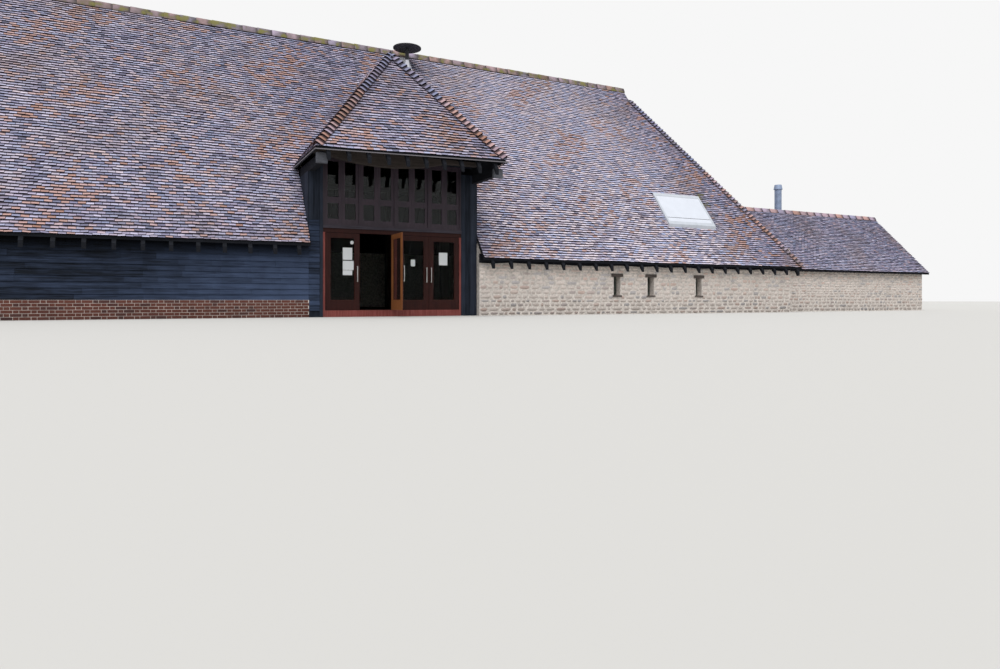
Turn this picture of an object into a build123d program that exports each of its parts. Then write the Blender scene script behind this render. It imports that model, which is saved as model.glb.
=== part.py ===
from build123d import *
import os
from math import radians, tan

# A long tiled barn with a raised cart entrance, a boarded half, a stone half and a low wing.
# Millimetres. The origin is on the ground, under the middle of the entrance, in the plane of its front.
# +X runs along the ridge to the stone half, +Y into the barn, +Z up.

# Main body
floor_level = 150
floor_thickness = 150
span = 10200
roof_over_wall = 2382
main_pitch = 53
hip_pitch = 60.5
half_length = 15380
gablet_run = 300
gablet_board = 40
gablet_setback = 60
left_overhang = 350
right_overhang = 540

# Roof build-up, each depth measured straight down
covering_drop = 170
rafter_drop = 150
rafter_width = 90
rafter_spacing = 600
cap_width = 160
cap_rise = 60

# Walls
board_wall = 150
plinth_level = 450
plinth_step = 40
stone_wall = 450
stone_step = 200

# Slit windows in the stone wall
slit_centres = (7300, 8650, 10700)
slit_width = 260
slit_sill = 600
slit_head = 1250
slit_glass = 8
slit_glass_depth = 220

# Raised cart entrance
left_panel = 370
right_panel = 490
porch_overhang = 190
porch_front = -1660
porch_apex_y = 620
porch_side_pitch = 52
cheek_thickness = 120
porch_wall = 120
plate_width = 150
plate_top = 4050
plate_depth = 240
plate_nose = -1450
plate_seat = 8
beam_depth = 340
beam_width = 250
beam_belly = 60
beam_end_inset = 40
porch_rafter_spacing = 520

# Entrance doors
door_modules = 4
module = 985
frame_depth = 110
jamb = 55
door_head_bottom = 2240
door_head_top = 2350
sill_rise = 25
leaf_thickness = 46
leaf_stile = 130
leaf_top_rail = 120
leaf_bottom_rail = 260
leaf_gap = 8
glass_thickness = 10
handle_length = 420
handle_radius = 14
handle_stand = 55
handle_level = 1150
leaf_face = 12
hinge_levels = (400, 1200, 2000)
hinge_length = 100
hinge_clearance = 0.3
drip_nose = 40
open_leaf = 1
open_angle = 90

# Upper windows over the doors
window_bottom = 2430
window_rail_level = 3100
window_rail = 160
window_mullion = 44
window_head = 200
casement_frame = 83
casement_bottom_rail = 125
casement_thickness = 50
casement_setback = 30
casement_gap = 4
gable_thickness = 40

# Rooflight in the right slope
rooflight_left = 10010
rooflight_right = 12130
rooflight_low_y = 490
rooflight_run = 900
rooflight_border = 80
rooflight_rise = 60
rooflight_glass = 12

# Mushroom vent near the ridge, with its pipe and lead slate
cowl_x = 1900
cowl_from_ridge = 600
cowl_radius = 480
cowl_rim = 30
cowl_height = 100
cowl_crown = 120
cowl_stand = 756
cowl_pipe = 60
cowl_pipe_inside = 350
cowl_lead = 260
cowl_lead_run = 190
cowl_lead_thickness = 8

# Timber frame
truss_half = 2290
bay = 3000
bays_each_side = 4
arcade_y = 2200
post_size = 240
arcade_plate = 200
tie_bottom = 3950
tie_depth = 300
tie_width = 220
brace_reach = 750
brace_width = 100
brace_depth = 200
brace_bow = 0.42
purlin_y = 3700
purlin_size = 150
collar_depth = 180

# Wing at the stone end
wing_end = 24540
wing_ridge_y = 3100
wing_ridge_level = 4300
wing_pitch = 45
wing_half = 2650
wing_eave_overhang = 300
wing_wall = 300
wing_gable_overhang = 150
flue_x = 18900
flue_y = 3750
flue_radius = 150
flue_top = 5350
flue_cowl_height = 200
flue_cowl_radius = 190
flue_inside = 500

# Worked out from the above
ridge_y = span / 2
main_slope = tan(radians(main_pitch))
hip_slope = tan(radians(hip_pitch))
side_slope = tan(radians(porch_side_pitch))
wing_slope = tan(radians(wing_pitch))
ridge_level = roof_over_wall + ridge_y * main_slope
structure_drop = covering_drop + rafter_drop
arcade_back_y = span - arcade_y
entrance_half = door_modules * module / 2
porch_left = -entrance_half - left_panel
porch_right = entrance_half + right_panel
porch_centre = (porch_left + porch_right) / 2
porch_half = (porch_right - porch_left) / 2
porch_roof_half = porch_half + porch_overhang
porch_ridge_level = plate_top + structure_drop + plate_seat + porch_half * side_slope
porch_eave_level = porch_ridge_level - porch_roof_half * side_slope
under_porch_ridge = porch_ridge_level - structure_drop
window_top = plate_top + window_head
cowl_y = ridge_y - cowl_from_ridge

# Cuts run this far past the faces that they go through
overcut = 1
pipe_hole_depth = 4 * covering_drop


def box(x0, x1, y0, y1, z0, z1):
    """A block between two opposite corners."""
    return Pos(min(x0, x1), min(y0, y1), z0) * Box(
        abs(x1 - x0), abs(y1 - y0), z1 - z0, align=(Align.MIN, Align.MIN, Align.MIN)
    )


def prism(points, sweep):
    """A flat outline through the points, carried along the sweep vector."""
    outline = Wire.make_polygon([Vector(*p) for p in points], close=True)
    return Solid.extrude(Face(outline), Vector(*sweep))


def bar_along_x(section, x0, x1):
    """An outline of (y, z) points carried from x0 to x1."""
    return prism([(x0, y, z) for y, z in section], (x1 - x0, 0, 0))


def bar_along_y(section, y0, y1):
    """An outline of (x, z) points carried from y0 to y1."""
    return prism([(x, y0, z) for x, z in section], (0, y1 - y0, 0))


def save(name, *shapes):
    """Write the shapes of one named piece to its own file."""
    solids = [s for shape in shapes for s in shape.solids()]
    os.makedirs("parts", exist_ok=True)
    piece = solids[0] if len(solids) == 1 else Compound(children=solids)
    export_step(piece, f"parts/{name}.step")


def front_level(y):
    """Top of the tiles on the front slope of the main roof."""
    return ridge_level - (ridge_y - y) * main_slope


def porch_side_level(x):
    """Top of the tiles on the sides of the entrance roof."""
    return porch_ridge_level - abs(x - porch_centre) * side_slope


class HalfRoof:
    """Corner positions of one half of the main roof; side is -1 for left and 1 for right."""

    def __init__(self, side, overhang):
        self.side = side
        self.overhang = overhang
        self.eave_y = -overhang
        self.back_eave_y = span + overhang
        self.eave_level = front_level(self.eave_y)
        self.end_x = porch_centre + side * half_length
        self.apex_x = self.end_x - side * (ridge_level - self.eave_level) / hip_slope
        self.gablet_x = self.apex_x + side * gablet_run
        self.gablet_level = ridge_level - gablet_run * hip_slope
        self.gablet_y = ridge_y - (ridge_level - self.gablet_level) / main_slope
        self.gablet_back_y = span - self.gablet_y

    def hip_level(self, x):
        """Top of the tiles on the hipped end."""
        return ridge_level - abs(x - self.apex_x) * hip_slope

    def cheek_x(self):
        return porch_centre + self.side * porch_half

    def under(self, drop):
        """Everything between the ground and a surface that lies the given depth under the tiles."""
        middle = porch_centre - self.side * half_length
        peak = ridge_level - drop
        low = self.eave_level - drop
        long_body = bar_along_x(
            [(self.eave_y, 0), (self.eave_y, low), (ridge_y, peak),
             (self.back_eave_y, low), (self.back_eave_y, 0)],
            middle, self.end_x)
        end_body = bar_along_y(
            [(middle, 0), (middle, peak), (self.apex_x, peak), (self.end_x, low), (self.end_x, 0)],
            self.eave_y, self.back_eave_y)
        return long_body & end_body


left = HalfRoof(-1, left_overhang)
right = HalfRoof(1, right_overhang)
left_attic = left.under(structure_drop)
right_attic = right.under(structure_drop)

# Valleys, where the entrance roof meets the front slope
valley_top_y = ridge_y - (ridge_level - porch_ridge_level) / main_slope


def valley_y(x):
    """How far back the valley lies at x."""
    return ridge_y - (ridge_level - porch_side_level(x)) / main_slope


# Main roof slopes, each a slab cut upright at its edges, so that neighbours meet on the hips
def front_slope(half):
    cheek = half.cheek_x()
    outline = [(cheek, half.eave_y), (half.end_x, half.eave_y), (half.gablet_x, half.gablet_y),
               (half.gablet_x, ridge_y), (porch_centre, ridge_y), (porch_centre, valley_top_y),
               (cheek, valley_y(cheek))]
    return prism([(x, y, front_level(y)) for x, y in outline], (0, 0, -covering_drop))


def back_slope(half):
    outline = [(porch_centre, half.back_eave_y), (half.end_x, half.back_eave_y),
               (half.gablet_x, half.gablet_back_y), (half.gablet_x, ridge_y), (porch_centre, ridge_y)]
    return prism([(x, y, front_level(span - y)) for x, y in outline], (0, 0, -covering_drop))


def end_slope(half):
    outline = [(half.end_x, half.eave_y), (half.end_x, half.back_eave_y),
               (half.gablet_x, half.gablet_back_y), (half.gablet_x, half.gablet_y)]
    return prism([(x, y, half.hip_level(x)) for x, y in outline], (0, 0, -covering_drop))


def gablet(half):
    low = half.gablet_level - covering_drop
    x0 = half.gablet_x - half.side * gablet_setback
    return bar_along_x(
        [(half.gablet_y, low), (half.gablet_back_y, low), (ridge_y, ridge_level - covering_drop)],
        x0, x0 - half.side * gablet_board)


def cap(start, end, along_a, along_b, rise=cap_rise):
    """Two strips that lie on the slopes each side of a ridge or hip and meet over it."""
    strips = []
    for shift in (along_a, along_b):
        moved = [tuple(p + s for p, s in zip(point, shift)) for point in (end, start)]
        strips.append(prism([start, end, *moved], (0, 0, rise)))
    return strips[0] + strips[1]


def ridge_cap():
    fall = cap_width * main_slope
    return cap((left.gablet_x, ridge_y, ridge_level), (right.gablet_x, ridge_y, ridge_level),
               (0, -cap_width, -fall), (0, cap_width, -fall))


def hip_caps(half):
    """Tiles over the two hips of one end, from the gablet down to the eave corners."""
    caps = []
    for back in (False, True):
        top_y = half.gablet_back_y if back else half.gablet_y
        low_y = half.back_eave_y if back else half.eave_y
        inward = -cap_width if back else cap_width
        caps.append(cap((half.gablet_x, top_y, half.gablet_level), (half.end_x, low_y, half.eave_level),
                        (-half.side * cap_width, 0, 0), (0, inward, 0)))
    return caps


front_left = front_slope(left)
rooflight_shaft = box(rooflight_left, rooflight_right, rooflight_low_y, rooflight_low_y + rooflight_run,
                      0, ridge_level)
front_right = front_slope(right) - rooflight_shaft
cowl_foot = front_level(cowl_y)
front_right -= Pos(cowl_x, cowl_y, cowl_foot) * Cylinder(cowl_pipe, pipe_hole_depth)
save("front_roof_left", front_left)
save("front_roof_right", front_right)
save("rear_roof", back_slope(left) + back_slope(right))
save("hip_roofs", end_slope(left), end_slope(right))
save("gablets", gablet(left), gablet(right))
save("ridge_tiles", ridge_cap())
save("hip_tiles", *hip_caps(left), *hip_caps(right))


# Rafters under the covering
def steps(start, end, pitch):
    """Evenly spaced places from near start to near end, with about the given pitch."""
    count = max(1, round(abs(end - start) / pitch))
    return [start + (end - start) * (i + 0.5) / count for i in range(count)]


def main_rafters(half, back):
    """Common and jack rafters of one long slope, left out across the entrance and the rooflight."""
    bars = []
    start = porch_centre if back else half.cheek_x()
    for x in steps(start, half.end_x, rafter_spacing):
        outer = x + half.side * rafter_width / 2
        if (outer - half.apex_x) * half.side < 0:
            top = ridge_level
        else:
            top = min(half.hip_level(outer), half.gablet_level)
        top_y = ridge_y - (ridge_level - top) / main_slope
        if not back and rooflight_left - rafter_width < x < rooflight_right + rafter_width:
            top_y = min(top_y, rooflight_low_y)
        pairs = [(y, front_level(y) - covering_drop) for y in (half.eave_y, top_y)]
        section = pairs + [(y, z - rafter_drop) for y, z in reversed(pairs)]
        if back:
            section = [(span - y, z) for y, z in section]
        bars.append(bar_along_x(section, x - rafter_width / 2, x + rafter_width / 2))
    return bars


def end_rafters(half):
    bars = []
    for y in steps(half.eave_y, half.back_eave_y, rafter_spacing):
        from_ridge = abs(y - ridge_y) + rafter_width / 2
        top = min(ridge_level - from_ridge * main_slope, half.gablet_level)
        top_x = half.apex_x + half.side * (ridge_level - top) / hip_slope
        pairs = [(x, half.hip_level(x) - covering_drop) for x in (half.end_x, top_x)]
        section = pairs + [(x, z - rafter_drop) for x, z in reversed(pairs)]
        bars.append(bar_along_y(section, y - rafter_width / 2, y + rafter_width / 2))
    return bars


save("rear_rafters", *main_rafters(left, True), *main_rafters(right, True))
save("end_rafters", *end_rafters(left), *end_rafters(right))

# Walls of the boarded half, on a brick plinth, and of the stone half
wall_clear = ridge_level
left_face = left.end_x + left_overhang
stone_face_y = -stone_step
stone_back_y = span + stone_step
right_face = right.end_x - (right_overhang - stone_step)


def board_walls():
    inner = board_wall
    front = box(left_face, porch_left, 0, inner, plinth_level, wall_clear) & left_attic
    back = box(left_face, porch_centre, span - inner, span, plinth_level, wall_clear) & left_attic
    end = box(left_face, left_face + inner, inner, span - inner, plinth_level, wall_clear) & left_attic
    return front, back, end


def plinths():
    depth = board_wall + plinth_step
    front = box(left_face - plinth_step, porch_left, -plinth_step, board_wall, 0, plinth_level)
    back = box(left_face - plinth_step, porch_centre, span - board_wall, span + plinth_step,
               0, plinth_level)
    end = box(left_face - plinth_step, left_face - plinth_step + depth,
              board_wall, span - board_wall, 0, plinth_level)
    return front, back, end


def stone_walls():
    inner_y = stone_face_y + stone_wall
    front = box(porch_right, right_face, stone_face_y, inner_y, 0, wall_clear) & right_attic
    for x in slit_centres:
        front -= box(x - slit_width / 2, x + slit_width / 2, stone_face_y - overcut, inner_y + overcut,
                     slit_sill, slit_head)
    back = box(porch_centre, right_face, stone_back_y - stone_wall, stone_back_y, 0, wall_clear)
    end = box(right_face - stone_wall, right_face, inner_y, stone_back_y - stone_wall, 0, wall_clear)
    return front, back & right_attic, end & right_attic


front_boards, rear_boards, end_boards = board_walls()
save("front_wall_boarded", front_boards)
save("rear_wall_boarded", rear_boards)
save("left_end_wall", end_boards)
front_plinth, rear_plinth, end_plinth = plinths()
save("brick_plinth", front_plinth + rear_plinth + end_plinth)
front_stone, rear_stone, end_stone = stone_walls()
save("front_wall_stone", front_stone)
save("rear_wall_stone", rear_stone)
save("right_end_wall", end_stone)
slit_panes = [
    box(x - slit_width / 2, x + slit_width / 2, stone_face_y + slit_glass_depth,
        stone_face_y + slit_glass_depth + slit_glass, slit_sill, slit_head)
    for x in slit_centres
]

# Floor, inside the walls
inside_front = board_wall
inside_stone = stone_face_y + stone_wall
floor_left = box(left_face + board_wall, porch_centre, inside_front, span - board_wall,
                 floor_level - floor_thickness, floor_level)
floor_right = box(porch_centre, right_face - stone_wall, inside_stone, stone_back_y - stone_wall,
                  floor_level - floor_thickness, floor_level)
floor_porch = box(porch_left, porch_right, porch_wall, inside_stone,
                  floor_level - floor_thickness, floor_level)
save("floor_slab", floor_left + floor_right + floor_porch)


# Entrance roof
def porch_slopes():
    low = porch_eave_level
    lift = (0, 0, -covering_drop)
    apex = (porch_centre, porch_apex_y, porch_ridge_level)
    back = (porch_centre, valley_top_y, porch_ridge_level)
    corners = [(porch_centre + s * porch_roof_half, porch_front, low) for s in (-1, 1)]
    feet = [(x, valley_y(x), low) for x, _, _ in corners]
    front = prism([corners[0], corners[1], apex], lift)
    sides = [prism([corner, apex, back, foot], lift) for corner, foot in zip(corners, feet)]
    return front, sides[0] - front_left, sides[1] - front_right


porch_front_slope, porch_left_slope, porch_right_slope = porch_slopes()
save("porch_roof", porch_front_slope + porch_left_slope + porch_right_slope)


def porch_caps():
    """Tiles over the entrance roof's ridge and two hips."""
    fall = cap_width * side_slope
    apex = (porch_centre, porch_apex_y, porch_ridge_level)
    ridge = cap(apex, (porch_centre, valley_top_y, porch_ridge_level),
                (-cap_width, 0, -fall), (cap_width, 0, -fall))
    pieces = [ridge - front_left - front_right]
    for s in (-1, 1):
        corner = (porch_centre + s * porch_roof_half, porch_front, porch_eave_level)
        hip = cap(corner, apex, (-s * cap_width, 0, 0), (0, cap_width, 0))
        pieces.append(hip - pieces[0])
    return pieces


save("porch_hip_tiles", *porch_caps())

# Cheeks, side walls that rise through the main slope, and the plates that carry the entrance roof
cheek_back_y = ridge_y - (ridge_level - structure_drop - plate_top) / main_slope


def cheek(side):
    x0 = porch_centre + side * porch_half
    x1 = x0 - side * cheek_thickness
    top = plate_top - plate_depth
    back_y = ridge_y - (ridge_level - structure_drop - top) / main_slope
    section = [(porch_wall, front_level(porch_wall) - structure_drop), (porch_wall, top), (back_y, top)]
    return bar_along_x(section, x0, x1)


def wall_plate(side):
    x0 = porch_centre + side * porch_half
    return box(x0, x0 - side * plate_width, plate_nose, cheek_back_y, plate_top - plate_depth, plate_top)


save("porch_plates", wall_plate(-1), wall_plate(1))


def porch_beam():
    """Tie over the entrance, with a sagging belly and ends cut to the roof slope."""
    half = porch_half - beam_end_inset
    seat = half - plate_width
    top = plate_top + beam_depth
    shoulder = (under_porch_ridge - top) / side_slope
    end_top = under_porch_ridge - half * side_slope
    belly = ThreePointArc((-seat, 0, plate_top), (0, 0, plate_top - beam_belly), (seat, 0, plate_top))
    edge = Polyline((seat, 0, plate_top), (half, 0, plate_top), (half, 0, end_top), (shoulder, 0, top),
                    (-shoulder, 0, top), (-half, 0, end_top), (-half, 0, plate_top), (-seat, 0, plate_top))
    face = make_face(belly + edge)
    return Pos(porch_centre, 0, 0) * Solid.extrude(face.faces()[0], Vector(0, -beam_width, 0))


save("porch_beam", porch_beam())


# Front wall of the entrance, each side of the doors and windows
def porch_front_wall(side):
    edge = side * entrance_half
    outer = porch_centre + side * porch_half
    inner = outer - side * plate_width
    low = box(edge, outer, 0, porch_wall, 0, plate_top - plate_depth)
    return low + box(edge, inner, 0, porch_wall, plate_top - plate_depth, plate_top)


def gable_boards():
    """Boards that close the entrance roof over the beam."""
    front_fall = (porch_ridge_level - porch_eave_level) / (porch_apex_y - porch_front)
    top = porch_eave_level - structure_drop - porch_front * front_fall
    low_half, top_half = [(under_porch_ridge - level) / side_slope for level in (window_top, top)]
    outline = [(-low_half, window_top), (low_half, window_top), (top_half, top), (-top_half, top)]
    return bar_along_y([(porch_centre + x, z) for x, z in outline], 0, gable_thickness)


save("porch_wall_left", porch_front_wall(-1))
save("porch_wall_right", porch_front_wall(1))
save("porch_cheeks", cheek(-1), cheek(1), gable_boards())


# Door frame: posts, head, sill and the drip board over them
def door_posts():
    lows = (-entrance_half, -jamb, entrance_half - jamb)
    highs = (-entrance_half + jamb, jamb, entrance_half)
    foot = floor_level + sill_rise
    return [box(x0, x1, 0, frame_depth, foot, door_head_bottom) for x0, x1 in zip(lows, highs)]


save("door_posts", *door_posts())
save("door_head", box(-entrance_half, entrance_half, 0, frame_depth, door_head_bottom, door_head_top))
save("door_sill", box(-entrance_half, entrance_half, 0, porch_wall, 0, floor_level + sill_rise))
save("drip_board", box(-entrance_half, entrance_half, -drip_nose, frame_depth, door_head_top, window_bottom))

# Door leaves, two pairs, numbered from the left
pair_width = entrance_half - 2 * jamb
leaf_width = (pair_width - 3 * leaf_gap) / 2
leaf_low = floor_level + sill_rise + leaf_gap
leaf_high = door_head_bottom - leaf_gap


def leaf_place(number):
    """Hinge position and direction from hinge to free edge of a leaf."""
    pair_start = -entrance_half + jamb if number < 2 else jamb
    if number % 2 == 0:
        return pair_start + leaf_gap, 1
    return pair_start + pair_width - leaf_gap, -1


def leaf_swing(number, shape):
    """Turn a closed leaf's piece outward on its hinge if that leaf stands open."""
    hinge_x, way = leaf_place(number)
    if number != open_leaf:
        return shape
    axis = Axis((hinge_x, leaf_face, 0), (0, 0, 1))
    return shape.rotate(axis, -way * open_angle)


def door_leaf(number):
    hinge_x, way = leaf_place(number)
    edge = hinge_x + way * leaf_width
    leaf = box(hinge_x, edge, leaf_face, leaf_face + leaf_thickness, leaf_low, leaf_high)
    leaf -= box(hinge_x + way * leaf_stile, edge - way * leaf_stile,
                leaf_face - overcut, leaf_face + leaf_thickness + overcut,
                leaf_low + leaf_bottom_rail, leaf_high - leaf_top_rail)
    for level in hinge_levels:
        leaf += Pos(hinge_x, leaf_face, level) * Cylinder(leaf_gap - hinge_clearance, hinge_length)
    return leaf_swing(number, leaf)


def door_glass(number):
    hinge_x, way = leaf_place(number)
    edge = hinge_x + way * leaf_width
    middle = leaf_face + leaf_thickness / 2
    pane = box(hinge_x + way * leaf_stile, edge - way * leaf_stile,
               middle - glass_thickness / 2, middle + glass_thickness / 2,
               leaf_low + leaf_bottom_rail, leaf_high - leaf_top_rail)
    return leaf_swing(number, pane)


def door_handle(number):
    """A D-shaped pull on the outside of a leaf."""
    hinge_x, way = leaf_place(number)
    x = hinge_x + way * (leaf_width - leaf_stile / 2)
    bar_y = leaf_face - handle_stand + handle_radius
    pull = Pos(x, bar_y, handle_level) * Cylinder(handle_radius, handle_length)
    reach = handle_length / 2 - handle_radius
    for level in (handle_level - reach, handle_level + reach):
        arm = Cylinder(handle_radius, leaf_face - bar_y)
        pull += Pos(x, (leaf_face + bar_y) / 2, level) * Rot(90, 0, 0) * arm
    return leaf_swing(number, pull)


for number in range(door_modules):
    save(f"door_leaf_{number + 1}", door_leaf(number))
    save(f"door_glass_{number + 1}", door_glass(number))
    save(f"door_handle_{number + 1}", door_handle(number))

# Windows over the doors: a frame of bays, two casements a bay, and their panes
bay_edges = [-entrance_half + i * module for i in range(door_modules + 1)]


def bay_opening(i):
    """Left and right sides of the space inside the frame's bay."""
    left_side = bay_edges[i] + (window_mullion if i == 0 else window_mullion / 2)
    right_side = bay_edges[i + 1] - (window_mullion if i == door_modules - 1 else window_mullion / 2)
    return left_side, right_side


def window_frame():
    frame = box(-entrance_half, entrance_half, 0, frame_depth, window_bottom, window_top)
    for i in range(door_modules):
        x0, x1 = bay_opening(i)
        frame -= box(x0, x1, -overcut, frame_depth + overcut,
                     window_bottom + window_mullion, window_top - window_mullion)
    return frame


def casement_spans():
    """Left and right sides of every casement."""
    spans = []
    for i in range(door_modules):
        x0, x1 = bay_opening(i)
        middle = (x0 + x1) / 2
        spans += [(x0, middle - casement_gap / 2), (middle + casement_gap / 2, x1)]
    return spans


def pane_spaces(x0, x1):
    """Inside corners of a casement's lower and upper pane."""
    low = window_bottom + window_mullion + casement_bottom_rail
    high = window_top - window_mullion - casement_frame
    sides = (x0 + casement_frame, x1 - casement_frame)
    rail = window_rail_level
    return [(*sides, low, rail - window_rail / 2), (*sides, rail + window_rail / 2, high)]


def casement(x0, x1):
    y0 = casement_setback
    y1 = y0 + casement_thickness
    leaf = box(x0, x1, y0, y1, window_bottom + window_mullion, window_top - window_mullion)
    for a, b, low, high in pane_spaces(x0, x1):
        leaf -= box(a, b, y0 - overcut, y1 + overcut, low, high)
    return leaf


def panes(x0, x1):
    middle = casement_setback + casement_thickness / 2
    return [box(a, b, middle - glass_thickness / 2, middle + glass_thickness / 2, low, high)
            for a, b, low, high in pane_spaces(x0, x1)]


save("window_frame", window_frame())
save("window_casements", *[casement(*span) for span in casement_spans()])


# Rafters of the entrance roof, whose feet show under the eave
def porch_rafters():
    bars = []
    front_fall = (porch_ridge_level - porch_eave_level) / (porch_apex_y - porch_front)
    reach = porch_roof_half - rafter_width
    for x in steps(porch_centre - reach, porch_centre + reach, porch_rafter_spacing):
        outer = abs(x - porch_centre) + rafter_width / 2
        run = min(porch_roof_half - outer, porch_apex_y - porch_front)
        run *= (porch_apex_y - porch_front) / porch_roof_half
        pairs = [(porch_front + r, porch_eave_level + r * front_fall - covering_drop) for r in (0, run)]
        section = pairs + [(y, z - rafter_drop) for y, z in reversed(pairs)]
        bars.append(bar_along_x(section, x - rafter_width / 2, x + rafter_width / 2))
    return bars


save("front_rafters", *main_rafters(left, False), *main_rafters(right, False), *porch_rafters())


# Rooflight: a border that goes through the covering, and its glass
def rooflight_prism(inset, top, depth):
    x0, x1 = rooflight_left + inset, rooflight_right - inset
    y0, y1 = rooflight_low_y + inset, rooflight_low_y + rooflight_run - inset
    outline = [(x0, y0), (x1, y0), (x1, y1), (x0, y1)]
    return prism([(x, y, front_level(y) + top) for x, y in outline], (0, 0, -depth))


rooflight_depth = rooflight_rise + covering_drop
border = rooflight_prism(0, rooflight_rise, rooflight_depth)
border -= rooflight_prism(rooflight_border, rooflight_rise + overcut, rooflight_depth + 2 * overcut)
save("rooflight_frame", border)
roof_pane = rooflight_prism(rooflight_border, rooflight_rise - 2 * rooflight_glass, rooflight_glass)
window_panes = [pane for span in casement_spans() for pane in panes(*span)]
save("window_glass", *window_panes, *slit_panes, roof_pane)


# Mushroom vent: a shallow cone on a pipe, with a lead slate on the tiles
def vent_cowl():
    low = cowl_foot - cowl_pipe_inside
    cowl_level = cowl_foot + cowl_stand
    cap_height = cowl_height - cowl_rim
    pipe = Pos(0, 0, (low + cowl_level) / 2) * Cylinder(cowl_pipe, cowl_level - low)
    rim = Pos(0, 0, cowl_level + cowl_rim / 2) * Cylinder(cowl_radius, cowl_rim)
    cap = Pos(0, 0, cowl_level + cowl_rim + cap_height / 2) * Cone(cowl_radius, cowl_crown, cap_height)
    return Pos(cowl_x, cowl_y, 0) * (pipe + rim + cap)


def lead_slate():
    x0, x1 = cowl_x - cowl_lead, cowl_x + cowl_lead
    y0, y1 = cowl_y - cowl_lead_run, cowl_y + cowl_lead_run
    outline = [(x0, y0), (x1, y0), (x1, y1), (x0, y1)]
    plate = prism([(x, y, front_level(y)) for x, y in outline], (0, 0, cowl_lead_thickness))
    return plate - Pos(cowl_x, cowl_y, cowl_foot) * Cylinder(cowl_pipe, pipe_hole_depth)


save("vent_cowl", vent_cowl())
save("vent_slate", lead_slate())

# Timber frame: posts, plates, ties with braces, purlins and collars
truss_places = sorted(
    porch_centre + side * (truss_half + i * bay) for side in (-1, 1) for i in range(bays_each_side)
)
half_post = post_size / 2
plate_level = front_level(arcade_y - arcade_plate / 2) - structure_drop - arcade_plate
purlin_top = front_level(purlin_y - purlin_size / 2) - structure_drop
collar_top = purlin_top - purlin_size
collar_level = collar_top - collar_depth
collar_half = (ridge_level - structure_drop - collar_top) / main_slope
collar_foot = (ridge_level - structure_drop - collar_level) / main_slope


def truss_posts():
    return [box(x - half_post, x + half_post, y - half_post, y + half_post, floor_level, plate_level)
            for x in truss_places for y in (arcade_y, arcade_back_y)]


def truss_ties():
    return [box(x - tie_width / 2, x + tie_width / 2, arcade_y + half_post, arcade_back_y - half_post,
                tie_bottom, tie_bottom + tie_depth) for x in truss_places]


def brace(x, side):
    """A curved brace from a post up to the tie."""
    post_y = ridge_y + side * (arcade_back_y - ridge_y - half_post)
    low = tie_bottom - brace_reach
    far = brace_reach - brace_depth
    outer = ThreePointArc((0, low), (brace_bow * brace_reach, tie_bottom - brace_bow * brace_reach),
                          (brace_reach, tie_bottom))
    inner = ThreePointArc((far, tie_bottom), (brace_bow * far, tie_bottom - brace_bow * far),
                          (0, low + brace_depth))
    ends = Line((brace_reach, tie_bottom), (far, tie_bottom)) + Line((0, low + brace_depth), (0, low))
    plane = Plane(origin=(x - brace_width / 2, post_y, 0), x_dir=(0, -side, 0), z_dir=(-side, 0, 0))
    face = plane * make_face(outer + inner + ends)
    return Solid.extrude(face.faces()[0], Vector(brace_width, 0, 0))


save("arcade_posts", *truss_posts())
save("arcade_plates", *[box(left.gablet_x, right.gablet_x, y - arcade_plate / 2, y + arcade_plate / 2,
                            plate_level, plate_level + arcade_plate) for y in (arcade_y, arcade_back_y)])
save("tie_beams", *truss_ties())
save("tie_braces", *[brace(x, side) for x in truss_places for side in (-1, 1)])
save("purlins", *[box(truss_places[0] - purlin_size, truss_places[-1] + purlin_size, y - purlin_size / 2,
                      y + purlin_size / 2, collar_top, purlin_top) for y in (purlin_y, span - purlin_y)])
save("collars", *[bar_along_x([(ridge_y - collar_foot, collar_level), (ridge_y + collar_foot, collar_level),
                               (ridge_y + collar_half, collar_top), (ridge_y - collar_half, collar_top)],
                              x - brace_width / 2, x + brace_width / 2) for x in truss_places])

# Wing at the stone end, under its own ridge, cut to the main roof's hipped end
wing_front_y = wing_ridge_y - wing_half + wing_eave_overhang
wing_back_y = wing_ridge_y + wing_half - wing_eave_overhang
wing_wall_end = wing_end - wing_gable_overhang
wing_start = right.apex_x
main_hull = right.under(0)


def wing_level(y):
    """Top of the tiles on the wing."""
    return wing_ridge_level - abs(y - wing_ridge_y) * wing_slope


def wing_slope_slab(side):
    low_y = wing_ridge_y + side * wing_half
    outline = [(wing_start, low_y), (wing_end, low_y), (wing_end, wing_ridge_y), (wing_start, wing_ridge_y)]
    slab = prism([(x, y, wing_level(y)) for x, y in outline], (0, 0, -covering_drop))
    return slab - main_hull


def eave_band():
    """The part of the hipped end's roof that stands out beyond the end wall."""
    x0, x1 = right_face, right.end_x
    section = [(x0, right.hip_level(x0)), (x1, right.hip_level(x1)),
               (x1, right.hip_level(x1) - structure_drop), (x0, right.hip_level(x0) - structure_drop)]
    return bar_along_y(section, right.eave_y, right.back_eave_y)


def wing_long_wall(y0, y1):
    outer = wing_level(y0) - covering_drop
    inner = wing_level(y1) - covering_drop
    wall = bar_along_x([(y0, 0), (y1, 0), (y1, inner), (y0, outer)], right_face, wing_wall_end)
    return wall - eave_band()


def wing_gable_wall():
    inner_front = wing_front_y + wing_wall
    inner_back = wing_back_y - wing_wall
    peak = wing_ridge_level - covering_drop
    shoulder = wing_level(inner_front) - covering_drop
    return bar_along_x([(inner_front, 0), (inner_back, 0), (inner_back, shoulder), (wing_ridge_y, peak),
                        (inner_front, shoulder)], wing_wall_end - wing_wall, wing_wall_end)


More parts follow.
